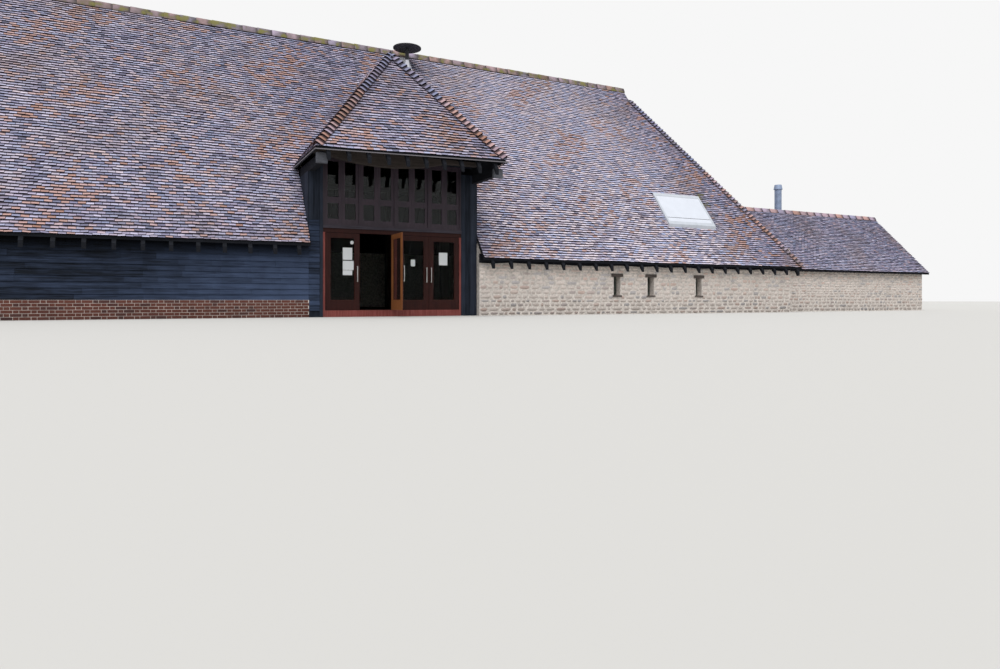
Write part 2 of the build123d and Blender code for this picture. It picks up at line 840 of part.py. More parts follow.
wing_back_slab = wing_slope_slab(1)
flue_hole = Pos(flue_x, flue_y, wing_level(flue_y)) * Cylinder(flue_radius, pipe_hole_depth)
save("wing_roof", wing_slope_slab(-1) + (wing_back_slab - flue_hole))
wing_fall = cap_width * wing_slope
wing_cap = cap((wing_start, wing_ridge_y, wing_ridge_level), (wing_end, wing_ridge_y, wing_ridge_level),
               (0, -cap_width, -wing_fall), (0, cap_width, -wing_fall))
save("wing_ridge_tiles", wing_cap - main_hull)
save("wing_walls", wing_long_wall(wing_front_y, wing_front_y + wing_wall)
     + wing_long_wall(wing_back_y, wing_back_y - wing_wall) + wing_gable_wall())


def wing_flue():
    pipe_low = wing_level(flue_y) - flue_inside
    pipe = Pos(flue_x, flue_y, (pipe_low + flue_top) / 2) * Cylinder(flue_radius, flue_top - pipe_low)
    hat = Cone(flue_cowl_radius, flue_radius, flue_cowl_height)
    return pipe + Pos(flue_x, flue_y, flue_top + flue_cowl_height / 2) * hat


save("wing_flue", wing_flue())
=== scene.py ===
"""The looks of a long tiled barn with a raised cart entrance, laid out as a Blender add-on."""
from functools import partial
from math import cos, radians, sin, tan

import bpy
import numpy as np
from bpy.props import FloatProperty, FloatVectorProperty, PointerProperty
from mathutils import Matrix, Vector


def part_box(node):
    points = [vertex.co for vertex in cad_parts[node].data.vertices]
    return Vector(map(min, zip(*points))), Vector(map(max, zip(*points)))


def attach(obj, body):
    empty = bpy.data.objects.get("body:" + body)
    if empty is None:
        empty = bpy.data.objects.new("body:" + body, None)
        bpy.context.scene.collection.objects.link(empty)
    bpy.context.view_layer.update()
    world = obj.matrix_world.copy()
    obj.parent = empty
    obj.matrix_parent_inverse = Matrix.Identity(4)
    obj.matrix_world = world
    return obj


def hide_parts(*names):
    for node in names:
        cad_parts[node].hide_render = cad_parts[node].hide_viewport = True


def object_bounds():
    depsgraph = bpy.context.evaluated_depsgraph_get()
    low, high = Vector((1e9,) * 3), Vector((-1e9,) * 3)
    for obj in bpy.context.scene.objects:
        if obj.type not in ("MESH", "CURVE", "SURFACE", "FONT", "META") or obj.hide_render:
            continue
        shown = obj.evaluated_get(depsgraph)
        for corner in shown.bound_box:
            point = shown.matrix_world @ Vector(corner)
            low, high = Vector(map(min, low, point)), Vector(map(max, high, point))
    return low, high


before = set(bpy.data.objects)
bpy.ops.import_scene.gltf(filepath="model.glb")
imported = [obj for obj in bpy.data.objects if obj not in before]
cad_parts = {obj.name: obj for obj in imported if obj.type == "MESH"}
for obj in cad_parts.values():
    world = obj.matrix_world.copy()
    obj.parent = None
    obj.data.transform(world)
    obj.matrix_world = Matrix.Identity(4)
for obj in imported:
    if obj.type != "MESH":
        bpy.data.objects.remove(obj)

bl_info = {
    "name": "Tiled barn",
    "version": (1, 0, 0),
    "blender": (4, 5, 0),
    "location": "3D View > Sidebar > Barn",
    "description": "Tiles, boards, stones, joinery and stage for a long tiled barn",
    "category": "Object",
}

# Box of the solids, which the cap tiles are kept inside
SOLIDS_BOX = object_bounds()

# Body that everything fixed rides on
BARN = "barn"

UP = np.array((0.0, 0.0, 1.0))
# Level directions that the barn's sides look to
FRONT, REAR, LEFT, RIGHT = (0, -1, 0), (0, 1, 0), (-1, 0, 0), (1, 0, 0)


def linear(code):
    """An sRGB hex colour as linear red, green, blue and an alpha of one."""
    parts = np.array([int(code[i:i + 2], 16) for i in (1, 3, 5)]) / 255
    parts = np.where(parts <= 0.04045, parts / 12.92, ((parts + 0.055) / 1.055) ** 2.4)
    return (*(float(p) for p in parts), 1.0)


def tint(name, description, code):
    """A colour that a user may change, with its default as an sRGB hex value."""
    return FloatVectorProperty(name=name, description=description, default=linear(code), size=4, subtype="COLOR",
                               min=0.0, max=1.0)


def metres(name, description, default):
    """A length that a user may change."""
    return FloatProperty(name=name, description=description, default=default, unit="LENGTH", subtype="DISTANCE")


def degrees(name, description, default):
    """An angle that a user may change, with its default in degrees."""
    return FloatProperty(name=name, description=description, default=radians(default), unit="ROTATION",
                         subtype="ANGLE")


class RoofSettings(bpy.types.PropertyGroup):
    """Sizes and colours of the clay covering."""
    gauge: metres("Gauge", "Height of tile that shows in each course", 0.1)
    width: metres("Tile width", "Width of one plain tile with its joint", 0.165)
    joint: metres("Joint", "Gap between two tiles of a course", 0.009)
    thickness: metres("Tile thickness", "Thickness of one plain tile", 0.015)
    lift: metres("Tail lift", "Gap under a tile's tail, from its camber", 0.009)
    lap: metres("Lap", "Length of tile that the next course hides", 0.035)
    sway: metres("Sway", "How far the old slopes dip between rafters", 0.026)
    wander: metres("Wander", "How far the courses wander up and down", 0.032)
    batten_drop: metres("Batten drop", "Depth of the battens under the tile tops", 0.1)
    batten_back: metres("Batten setback", "Overhang of the tiles past the battens", 0.11)
    twist: metres("Twist", "Rise of the entrance roof's right-hand corner", 0.12)
    bonnet_half: metres("Bonnet half width", "Half the width of a hip tile", 0.14)
    ridge_half: metres("Ridge half width", "Half the width of a ridge tile", 0.115)
    ridge_length: metres("Ridge tile length", "Length of one ridge tile", 0.45)
    pink: tint("Pink tile", "Pinkish lilac tiles, the most common", "#afa6c1")
    blue: tint("Blue tile", "Tiles with a blue bloom", "#868fb1")
    mauve: tint("Mauve tile", "Greyish mauve tiles", "#8985a5")
    pale: tint("Pale tile", "Tiles that catch the sky, and bloom on the lower courses", "#d0cae2")
    bloom_pink: tint("Pink bloom", "Pale bloom on pink tiles", "#eee2ed")
    bloom_blue: tint("Blue bloom", "Pale bloom on blue tiles", "#b9c4ea")
    peach: tint("Peach tile", "Pale reddish tiles", "#c69c92")
    orange: tint("Orange tile", "Softer fired and newer tiles", "#a47866")
    burnt: tint("Burnt tile", "Tiles that were fired hardest", "#57556b")
    brown: tint("Brown stain", "Patches of brown weathering", "#8a7168")
    moss: tint("Moss", "Yellow-green moss", "#74702f")
    growth: tint("Damp growth", "Dark growth on damp tiles", "#4b4740")
    # Painted shade: the colour that the tails and the strips under the next tails are darkened to
    gap: tint("Gap", "Brown dirt between the courses", "#5a5059")


class WallSettings(bpy.types.PropertyGroup):
    """Sizes and colours of boards, bricks and stones."""
    exposure: metres("Board exposure", "Height of board that shows", 0.14)
    board_foot: metres("Board foot", "Thickness at a board's lower edge", 0.03)
    board_head: metres("Board head", "Thickness at a board's upper edge", 0.007)
    stone_course: metres("Stone course", "Mean height of a course of stones", 0.12)
    stone_length: metres("Stone length", "Mean length of a stone", 0.26)
    stone_joint: metres("Stone joint", "Width of a mortar joint", 0.016)
    brick_height: metres("Brick height", "Height of one brick", 0.065)
    brick_length: metres("Brick length", "Length of one brick", 0.215)
    brick_joint: metres("Brick joint", "Width of a joint between bricks", 0.01)
    tar: tint("Tarred board", "Black tarred boards", "#0f151f")
    tar_worn: tint("Worn board", "Boards where the tar is thin", "#42506c")
    # Partly painted shade: upright boards take a darker, less blue copy of the worn tar colour
    tar_upright_shaded: tint("Worn upright board", "Upright boards where the tar is thin", "#323947")
    cream: tint("Cream stone", "Most of the rubble", "#faeee6")
    rust: tint("Rusty stone", "Brown and red stones", "#ecd3c8")
    grey: tint("Grey stone", "Grey stones and flints", "#d8d3d3")
    mortar: tint("Lime mortar", "Joints in the rubble", "#e8e0d9")
    brick: tint("Red brick", "Bricks of the plinth", "#804b3f")
    brick_dark: tint("Dark brick", "Hard fired bricks", "#5c3a38")


class TimberSettings(bpy.types.PropertyGroup):
    """Sizes of trim, and colours of timber, glass and metal."""
    bead: metres("Glazing bead", "Width of the beads round the glass", 0.014)
    oak: tint("Old oak", "Dark dry oak", "#39322f")
    # Painted shade: rafters, battens and plates under the eaves are drawn near black
    shade_black: tint("Blackened oak", "Oak in the shade of the eaves", "#14161c")
    shade_black_worn: tint("Worn black oak", "Where the black is thin", "#23262e")
    silver: tint("Silvered oak", "End grain in the open", "#3c3e46")
    silver_worn: tint("Lichened oak", "Pale lichen on end grain", "#686b74")
    oak_pale: tint("Grey oak", "Weathered ridges of the grain", "#5f5652")
    # Lit and shaded copies of one stain: the leaves and head take a darker painted-shade copy, the frame a paler lit
    # copy
    leaf_stain_shaded: tint("Door stain", "Dark red-brown stain of the leaves", "#2a100e")
    leaf_stain_shaded_worn: tint("Worn stain", "Leaf stain where it is thin", "#44201b")
    frame_stain_lit: tint("Frame stain", "Redder stain of the door frame", "#7a3b37")
    frame_stain_lit_worn: tint("Worn frame", "Frame stain where it is thin", "#ae6b66")
    varnish: tint("Varnish", "Orange-brown varnish inside", "#945e3a")
    window: tint("Window stain", "Purple-brown stain", "#302732")
    window_worn: tint("Worn window", "Window stain where it is thin", "#4d3e49")
    drip: tint("Drip board", "Greyed stain over the doors", "#28232d")
    drip_worn: tint("Worn drip board", "Greyed grain over the doors", "#544d5a")
    fascia: tint("Fascia", "Pale weathered eave board", "#77747a")
    paper: tint("Blank sheet", "White blank sheets", "#dfe3e6")
    # Painted light: the lead is drawn near white, so that it shows pale in the shade of the vent's disc
    lead: tint("Lead", "Dull lead", "#f1f4ff")
    zinc: tint("Zinc", "Dull grey metal", "#93a2bd")
    steel: tint("Steel", "Brushed steel", "#c4c4c2")
    iron: tint("Black iron", "Black painted metal", "#22242a")
    white: tint("White paint", "Rooflight border", "#c0c6cf")
    # Painted reflection: white over the rooflight's glass, standing in for the sky reflected in it
    blind: tint("White blind", "Outer blind over the rooflight", "#d3d8e2")
    floor: tint("Floor", "Worn concrete floor", "#36322e")


class StageSettings(bpy.types.PropertyGroup):
    """Light, backdrop and camera."""
    ground: tint("Ground", "Plain pale floor", "#c3c2bf")
    ground_bounce: tint("Ground bounce", "What the floor throws back on the barn", "#a5a29d")
    sky: FloatProperty(name="Sky light", description="Strength of the even light", default=0.62, min=0.0)
    lamp: FloatProperty(name="Lamp", description="Strength of the soft lamp", default=2.6, min=0.0)
    lamp_spread: degrees("Lamp spread", "Width of the soft lamp", 60)
    eye_height: metres("Eye height", "Camera over the ground", 0.45)
    eye_x: metres("Eye place", "Camera along the barn", -6.04)
    eye_y: metres("Eye distance", "Camera in front of the doors", -18.5)
    bearing: degrees("Bearing", "Camera's turn towards the stone end", 26.6)
    frame_drop: FloatProperty(name="Frame drop", description="Shift of the frame below the level eye line, as a "
                              "share of its width", default=0.0345)
    lens: FloatProperty(name="Lens", description="Focal length", default=25.2, unit="CAMERA")
    floor_half: metres("Floor half", "Half the side of the plain floor", 220)


def settings(name):
    """One of the scene's groups of settings: roof, walls, timber or stage."""
    return getattr(bpy.context.scene, "barn_" + name)


# Materials

# Settings of a Mix node that blends two colours, and of one that multiplies them
BLEND = {"data_type": "RGBA"}
MULTIPLY = {"data_type": "RGBA", "blend_type": "MULTIPLY"}


def feed(tree, node, inputs):
    """Sets a node's inputs to plain values, or links them to sockets or to the main outputs of other nodes."""
    for name, value in inputs.items():
        if isinstance(value, bpy.types.Node):
            # The colour of a Mix node is its third output
            value = value.outputs[2 if value.bl_idname == "ShaderNodeMix" else 0]
        if isinstance(value, bpy.types.NodeSocket):
            tree.links.new(value, node.inputs[name])
        else:
            node.inputs[name].default_value = value


def add(tree, kind, inputs=None, stops=(), **choices):
    """A shader node of a kind with its choices set, its inputs fed, and a ramp's stops if it has them."""
    made = tree.nodes.new("ShaderNode" + kind)
    for name, value in choices.items():
        setattr(made, name, value)
    feed(tree, made, inputs or {})
    for i, (place, colour) in enumerate(stops):
        elements = made.color_ramp.elements
        element = elements[i] if i < 2 else elements.new(place)
        element.position = place
        element.color = colour
    return made


def grey(value):
    """A grey colour for a ramp's stop."""
    return (value, value, value, 1.0)


def new_material(name, roughness, **sockets):
    """A material with a Principled shader on its output and the shader's plain values set."""
    made = bpy.data.materials.new(name)
    made.use_nodes = True
    tree = made.node_tree
    tree.nodes.clear()
    shader = add(tree, "BsdfPrincipled", {"Roughness": roughness, **sockets})
    add(tree, "OutputMaterial", {"Surface": shader})
    place = add(tree, "TexCoord").outputs["Object"]
    return made, tree, shader, place


def cover(tree, shader, colour, height, depth):
    """Puts a colour and a bump of the given depth in metres on the shader."""
    bump = add(tree, "Bump", {"Height": height, "Distance": depth, "Strength": 0.7})
    feed(tree, shader, {"Base Color": colour, "Normal": bump})


def mottled(tree, place, colour, scale, detail, dark, light, share=1.0):
    """A colour dimmed in patches, and the noise that dims it. Dark is the noise's value where it is darkest, with
    how much of the colour is left there; light is the value from which all of it is left."""
    noise = add(tree, "TexNoise", {"Vector": place, "Scale": scale, "Detail": detail})
    shade = add(tree, "ValToRGB", {"Fac": noise}, stops=[(dark[0], grey(dark[1])), (light, grey(1.0))])
    dimmed = add(tree, "Mix", {0: share, 6: colour, 7: shade}, **MULTIPLY)
    return dimmed, noise


def by_height(tree, place, colour, heights, shades):
    """A colour dimmed by height: the first shade up to the first height, and the second from the second height."""
    level = add(tree, "SeparateXYZ", {"Vector": place}).outputs["Z"]
    shade = add(tree, "MapRange", {"Value": level, "From Min": heights[0], "From Max": heights[1],
                                   "To Min": shades[0], "To Max": shades[1]})
    return add(tree, "Mix", {0: 1.0, 6: colour, 7: shade}, **MULTIPLY)


# Shades of a wall's foot and head: soil splashed up by the rain, and painted shade under the eaves
SPLASH_HEIGHTS, SPLASH_SHADES, PAINTED_EAVES_SHADES = (0.0, 1.2), (0.5, 1.0), (1.0, 0.15)


def clay_tile(name):
    """Hand-made clay plain tiles, sand-faced and fired unevenly: pinkish lilac, blue, mauve and some orange, with
    a pale bloom that also carries a painted sheen, painted shade on each tail and on the strip under the next
    one, moss along the top and dark growth."""
    roof = settings("roof")
    made, tree, shader, place = new_material(name, 0.8)
    tone, reach, damp, bloom = (add(tree, "Attribute", attribute_name=layer).outputs["Fac"]
                                for layer in ("tone", "reach", "damp", "bloom"))
    base = add(tree, "ValToRGB", {"Fac": tone}, stops=[
        (0.0, roof.burnt), (1.0, roof.pale), (0.14, roof.mauve), (0.26, roof.blue), (0.36, roof.mauve),
        (0.5, roof.pink), (0.58, roof.pale), (0.66, roof.blue), (0.75, roof.pink), (0.86, roof.peach),
        (0.91, roof.orange), (0.95, roof.pink)])
    # Brown weathering in patches one to three metres across
    patches = add(tree, "TexNoise", {"Vector": place, "Scale": 0.55, "Detail": 5.0, "Roughness": 0.6})
    patch = add(tree, "ValToRGB", {"Fac": patches}, stops=[(0.46, grey(0.0)), (0.68, grey(0.6))])
    stained = add(tree, "Mix", {0: patch, 6: base, 7: roof.brown}, **BLEND)
    # A pale bloom, pinkish or bluish by tile, which also paints a sheen of sky glare on the stone half
    pale = add(tree, "Math", {0: bloom, 1: 0.65}, operation="MULTIPLY")
    blooms = add(tree, "ValToRGB", {"Fac": tone}, stops=[
        (0.0, roof.bloom_blue), (1.0, roof.bloom_pink), (0.3, roof.bloom_pink), (0.5, roof.pale),
        (0.62, roof.bloom_blue), (0.72, roof.bloom_pink)])
    bloomed = add(tree, "Mix", {0: pale, 6: stained, 7: blooms}, **BLEND)
    # Sand-faced grain about 15 mm across, drawn coarser than real grit so that it shows
    sanded, grain = mottled(tree, place, bloomed, 60.0, 4.0, (0.3, 0.72), 0.7, share=0.7)
    # Painted shade by place on the tile, on and under each tail and on the strip that the next tail shades:
    # reach is -1 under the tail, 0 at the tail and 1 at the head
    ragged = add(tree, "TexNoise", {"Vector": place, "Scale": 9.0, "Detail": 3.0})
    edge = add(tree, "Math", {0: ragged, 1: 0.16, 2: 0.42}, operation="MULTIPLY_ADD")
    along_tile = add(tree, "Math", {0: reach, 1: 0.5, 2: edge}, operation="MULTIPLY_ADD")
    painted_shade = add(tree, "ValToRGB", {"Fac": along_tile}, stops=[
        (0.0, roof.gap), (1.0, roof.gap), (0.42, roof.gap), (0.5, grey(1.0)), (0.68, grey(0.92)),
        (0.79, roof.gap)])
    shaded = add(tree, "Mix", {0: 1.0, 6: sanded, 7: painted_shade}, **MULTIPLY)
    # Dark growth and yellow-green moss, where the damp value and a noise of about 0.3 m add up
    cushions = add(tree, "TexNoise", {"Vector": place, "Scale": 3.0, "Detail": 6.0})
    wet = add(tree, "Math", {0: damp, 1: cushions}, operation="ADD")
    grown = shaded
    for colour, first, last, most in ((roof.growth, 0.8, 1.1, 0.8), (roof.moss, 1.02, 1.14, 0.85)):
        where = add(tree, "MapRange", {"Value": wet, "From Min": first, "From Max": last, "To Max": most})
        grown = add(tree, "Mix", {0: where, 6: grown, 7: colour}, **BLEND)
    cover(tree, shader, grown, grain, 0.004)
    return made


def board(name, first, second, along, roughness=0.6, scale=7.0, stretch=14.0, depth=0.003, gloss=0.5,
          inside=None, shelter=None):
    """Sawn timber, whose grain runs along X, Y or Z: streaks of two tones, drawn far longer than they are wide.

    Inside gives the axis, the side of it and the place past which the timber has a finish of another colour.
    """
    made, tree, shader, place = new_material(name, roughness, **{"Specular IOR Level": gloss})
    squeeze = [1.0 if axis == along else stretch for axis in "XYZ"]
    grain_place = add(tree, "Mapping", {"Vector": place, "Scale": squeeze})
    grain = add(tree, "TexNoise", {"Vector": grain_place, "Scale": scale / 4, "Detail": 6.0, "Roughness": 0.65})
    tone = add(tree, "Attribute", attribute_name="tone").outputs["Fac"]
    streak = add(tree, "Math", {0: tone, 1: 0.4, 2: grain}, operation="MULTIPLY_ADD")
    finish = add(tree, "ValToRGB", {"Fac": streak}, stops=[(0.35, first), (0.95, second)])
    if inside:
        axis, side, limit, other = inside
        parts = add(tree, "SeparateXYZ", {"Vector": place})
        within = add(tree, "Math", {0: parts.outputs[axis], 1: limit}, operation=side)
        finish = add(tree, "Mix", {0: within, 6: finish, 7: other}, **BLEND)
    # Dirt that gathers in patches about half a metre across
    worn = mottled(tree, place, finish, 2.2, 4.0, (0.35, 0.75), 0.6, share=0.8)[0]
    # Painted shade under the eaves, darkest at the top
    if shelter:
        worn = by_height(tree, place, worn, shelter, PAINTED_EAVES_SHADES)
    cover(tree, shader, worn, grain, depth)
    return made


def masonry(name, stops, roughness=0.9, grit=40.0, depth=0.006, shelter=None):
    """Stone or brick: each block takes its own tone from a ramp, with grit, stains and splashed soil over it."""
    made, tree, shader, place = new_material(name, roughness)
    tone = add(tree, "Attribute", attribute_name="tone").outputs["Fac"]
    base = add(tree, "ValToRGB", {"Fac": tone}, stops=stops)
    aged, grain = mottled(tree, place, base, grit, 6.0, (0.3, 0.7), 0.65, share=0.75)
    aged = mottled(tree, place, aged, 1.3, 5.0, (0.35, 0.8), 0.6, share=0.8)[0]
    aged = by_height(tree, place, aged, SPLASH_HEIGHTS, SPLASH_SHADES)
    # Painted shade under the eaves, darkest at the top
    if shelter:
        aged = by_height(tree, place, aged, shelter, PAINTED_EAVES_SHADES)
    cover(tree, shader, aged, grain, depth)
    return made


def plain_finish(name, colour, roughness, metallic=0.0, mottle=0.25, scale=6.0, depth=0.0008):
    """Paint, paper or sheet metal: one colour with faint mottling and a slightly uneven face."""
    made, tree, shader, place = new_material(name, roughness, Metallic=metallic)
    cover(tree, shader, *mottled(tree, place, colour, scale, 5.0, (0.3, 1.0 - mottle), 0.65), depth)
    return made


def window_glass(name, ior):
    """Drawn sheet glass: clear, smooth and slightly wavy. Its IOR is lower than real glass, because the real panes
    face dark surroundings and look almost black."""
    made, tree, shader, place = new_material(name, 0.03, **{"Transmission Weight": 1.0, "IOR": ior})
    ripple = add(tree, "TexNoise", {"Vector": place, "Scale": 2.5, "Detail": 1.0})
    bump = add(tree, "Bump", {"Height": ripple, "Distance": 0.006, "Strength": 0.3})
    feed(tree, shader, {"Base Color": linear("#b9c4c2"), "Normal": bump})
    return made


def material(name, make, *args, **kwargs):
    """The material of that name, made by its function the first time that it is asked for."""
    return bpy.data.materials.get(name) or make(name, *args, **kwargs)


def oak_material(along):
    """Dry old oak of the frame, with its grain along an axis."""
    timber = settings("timber")
    return material("old_oak_along_" + along.lower(), board, timber.oak, timber.oak_pale, along, roughness=0.85)


def shade_black_oak_material(along):
    """Oak drawn near black as painted shade of the eaves, with its grain along an axis."""
    timber = settings("timber")
    return material("blackened_oak_along_" + along.lower(), board, timber.shade_black, timber.shade_black_worn, along,
                    roughness=0.9, gloss=0.2)


def tar_material(along, shelter=None):
    """Softwood boards under black tar that wears thin, with painted shade of the eaves between two heights."""
    walls = settings("walls")
    # Upright boards take the darker, less blue worn colour, which is partly painted shade
    worn = walls.tar_upright_shaded if along == "Z" else walls.tar_worn
    return material(("sheltered" if shelter else "tarred") + "_board_along_" + along.lower(), board, walls.tar, worn,
                    along, roughness=0.65, gloss=0.12, shelter=shelter)


# Mesh helpers

# Corners of a block: 0 to 3 round its inner face and 4 to 7 round its outer face, both anticlockwise from outside
BLOCK_FACES = np.array(((3, 2, 1, 0), (4, 5, 6, 7), (0, 1, 5, 4), (1, 2, 6, 5), (2, 3, 7, 6), (3, 0, 4, 7)))


def piece(name, points, quads, finish, slot, body=BARN, replaced=(), crease=None, **values):
    """An object from (n, 3) points and (m, 4) quads, with one value per point for each attribute.

    Its faces are flat, or with a crease angle they are smooth except where they meet at more than that.
    """
    mesh = bpy.data.meshes.new(name)
    mesh.vertices.add(len(points))
    mesh.vertices.foreach_set("co", np.asarray(points, np.float32).ravel())
    mesh.loops.add(quads.size)
    mesh.loops.foreach_set("vertex_index", quads.astype(np.int32).ravel())
    mesh.polygons.add(len(quads))
    mesh.polygons.foreach_set("loop_start", np.arange(0, quads.size, 4, dtype=np.int32))
    mesh.update(calc_edges=True)
    mesh.validate()
    if crease:
        mesh.set_sharp_from_angle(angle=crease)
    else:
        mesh.shade_flat()
    for attribute, numbers in values.items():
        layer = mesh.attributes.new(attribute, "FLOAT", "POINT")
        layer.data.foreach_set("value", np.asarray(numbers, np.float32))
    mesh.materials.append(finish)
    made = bpy.data.objects.new(name, mesh)
    bpy.context.scene.collection.objects.link(made)
    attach(made, body)
    if replaced:
        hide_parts(*replaced)
    return made


def blocks(name, corners, finish, slot, tones=None, damps=None, blooms=None, reach=None, **more):
    """A piece of n six-sided blocks, from (n, 8, 3) corners, with one tone, damp and bloom value a block, and
    one reach value for each of a block's eight corners."""
    count = len(corners)
    quads = (np.arange(count)[:, None, None] * 8 + BLOCK_FACES).reshape(-1, 4)
    values = {key: np.repeat(numbers, 8) for key, numbers in (("tone", tones), ("damp", damps), ("bloom", blooms))
              if numbers is not None}
    if reach is not None:
        values["reach"] = np.broadcast_to(reach, (count, 8)).ravel()
    return piece(name, corners.reshape(-1, 3), quads, finish, slot, **more, **values)


def box_corners(low, high):
    """The (n, 8, 3) corners of upright boxes between (n, 3) low and high corners."""
    low, high = np.atleast_2d(low), np.atleast_2d(high)
    pick = np.array(((0, 0, 0), (1, 0, 0), (1, 1, 0), (0, 1, 0), (0, 0, 1), (1, 0, 1), (1, 1, 1), (0, 1, 1)))
    return low[:, None] + pick[None] * (high - low)[:, None]


def dress(finish, *nodes):
    """Gives nodes of the frame a finish."""
    for name in nodes:
        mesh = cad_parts[name].data
        if not mesh.materials:
            mesh.materials.append(finish)
        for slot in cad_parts[name].material_slots:
            slot.material = finish


def unit(vector):
    """A vector's direction, with a length of one."""
    return np.asarray(vector, float) / np.linalg.norm(vector)


def box(node):
    """Lowest and highest corners of a node of the frame."""
    return np.array(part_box(node))


def joined(parts):
    """Tuples of arrays, joined end to end into one array for each place in the tuple."""
    return [np.concatenate(group) for group in zip(*parts)]


def grid_quads(columns, rows):
    """Quads between the points of a grid, which are numbered along its rows."""
    i, j = np.meshgrid(np.arange(columns - 1), np.arange(rows - 1))
    corner = (j * columns + i).ravel()
    return np.stack((corner, corner + 1, corner + columns + 1, corner + columns), axis=1)


def tube_quads(steps, rings):
    """Quads between the points of closed rings, which are numbered round each ring in turn."""
    i, j = (grid.ravel() for grid in np.meshgrid(np.arange(steps), np.arange(rings - 1)))
    following = (i + 1) % steps
    return np.stack((j * steps + i, j * steps + following, (j + 1) * steps + following, (j + 1) * steps + i), axis=1)


# Roof

# Heights up a slope that differ by less than this are the same
SAME_HEIGHT = 1e-4


class Slope:
    """A flat roof slope, with coordinates u along it and v up it, between a left and a right edge."""

    def __init__(self, facing, pitch, left, right, hole=None):
        """Facing is the level direction that it looks to; the edges are points from the eave upwards."""
        facing = np.array(facing, float)
        self.up = UP * sin(pitch) - facing * cos(pitch)
        self.out = UP * cos(pitch) + facing * sin(pitch)
        self.along = np.cross(self.up, self.out)
        left, right = np.array(left, float), np.array(right, float)
        self.offset = left[0] @ self.out
        self.left = left @ self.along, left @ self.up
        self.right = right @ self.along, right @ self.up
        self.low = max(self.left[1][0], self.right[1][0])
        self.high = min(self.left[1][-1], self.right[1][-1])
        self.hole = hole and [sorted(np.array(hole) @ axis) for axis in (self.along, self.up)]

    def edges(self, v):
        """Left and right ends of the slope at height v."""
        return np.interp(v, self.left[1], self.left[0]), np.interp(v, self.right[1], self.right[0])

    def at(self, u, v, h):
        """Points at u, v and height h over the plane, in the row frame."""
        u, v, h = np.broadcast_arrays(u, v, h)
        return (u[..., None] * self.along + v[..., None] * self.up
                + (self.offset + h)[..., None] * self.out)

    def spans(self, back):
        """Four-sided parts of the slope between the heights where an edge bends, from a height back from the
        eave, with the hole left out."""
        low = self.low + back
        marks = {low, self.high, *self.left[1], *self.right[1], *(self.hole[1] if self.hole else ())}
        marks = sorted(v for v in marks if low <= v <= self.high)
        parts = []
        for low, high in zip(marks, marks[1:]):
            if high - low < SAME_HEIGHT:
                continue
            left, right = self.edges(np.array((low, high)))
            if self.hole and self.hole[1][0] <= low < self.hole[1][1] - SAME_HEIGHT:
                gap = np.array([self.hole[0]] * 2)
                parts += [(low, high, left, gap[:, 0]), (low, high, gap[:, 1], right)]
            else:
                parts.append((low, high, left, right))
        return parts


def sway(u, v, size):
    """Dip of an old slope: two long waves along it and one up it, between nothing and the given size."""
    wave = np.sin(u * 1.9 + 0.7 * np.sin(v * 0.8)) + np.sin(u * 0.83 + v * 0.6 + 1.0) + np.sin(v * 1.7 + u * 0.3)
    return size * (0.5 - wave / 6)


# How unevenly the tiles lie, in metres: a course's shift and a tile's, the places of its tail, of an eave tile's tail
# and of its end at a verge, its height, the tilt and skew of its corners, and its fall
COURSE_SHIFT, TILE_SHIFT, TAIL_SCATTER, EAVE_SCATTER, VERGE_SCATTER = 0.012, 0.0015, 0.0055, 0.014, 0.03
HEIGHT_SCATTER, TILT, FALL_SCATTER = 0.009, 0.003, 0.002
# A tile smaller than this is left out, and one cut to a point keeps this width
LEAST_WIDTH, LEAST_LENGTH, LEAST_POINT = 0.02, 0.03, 0.004


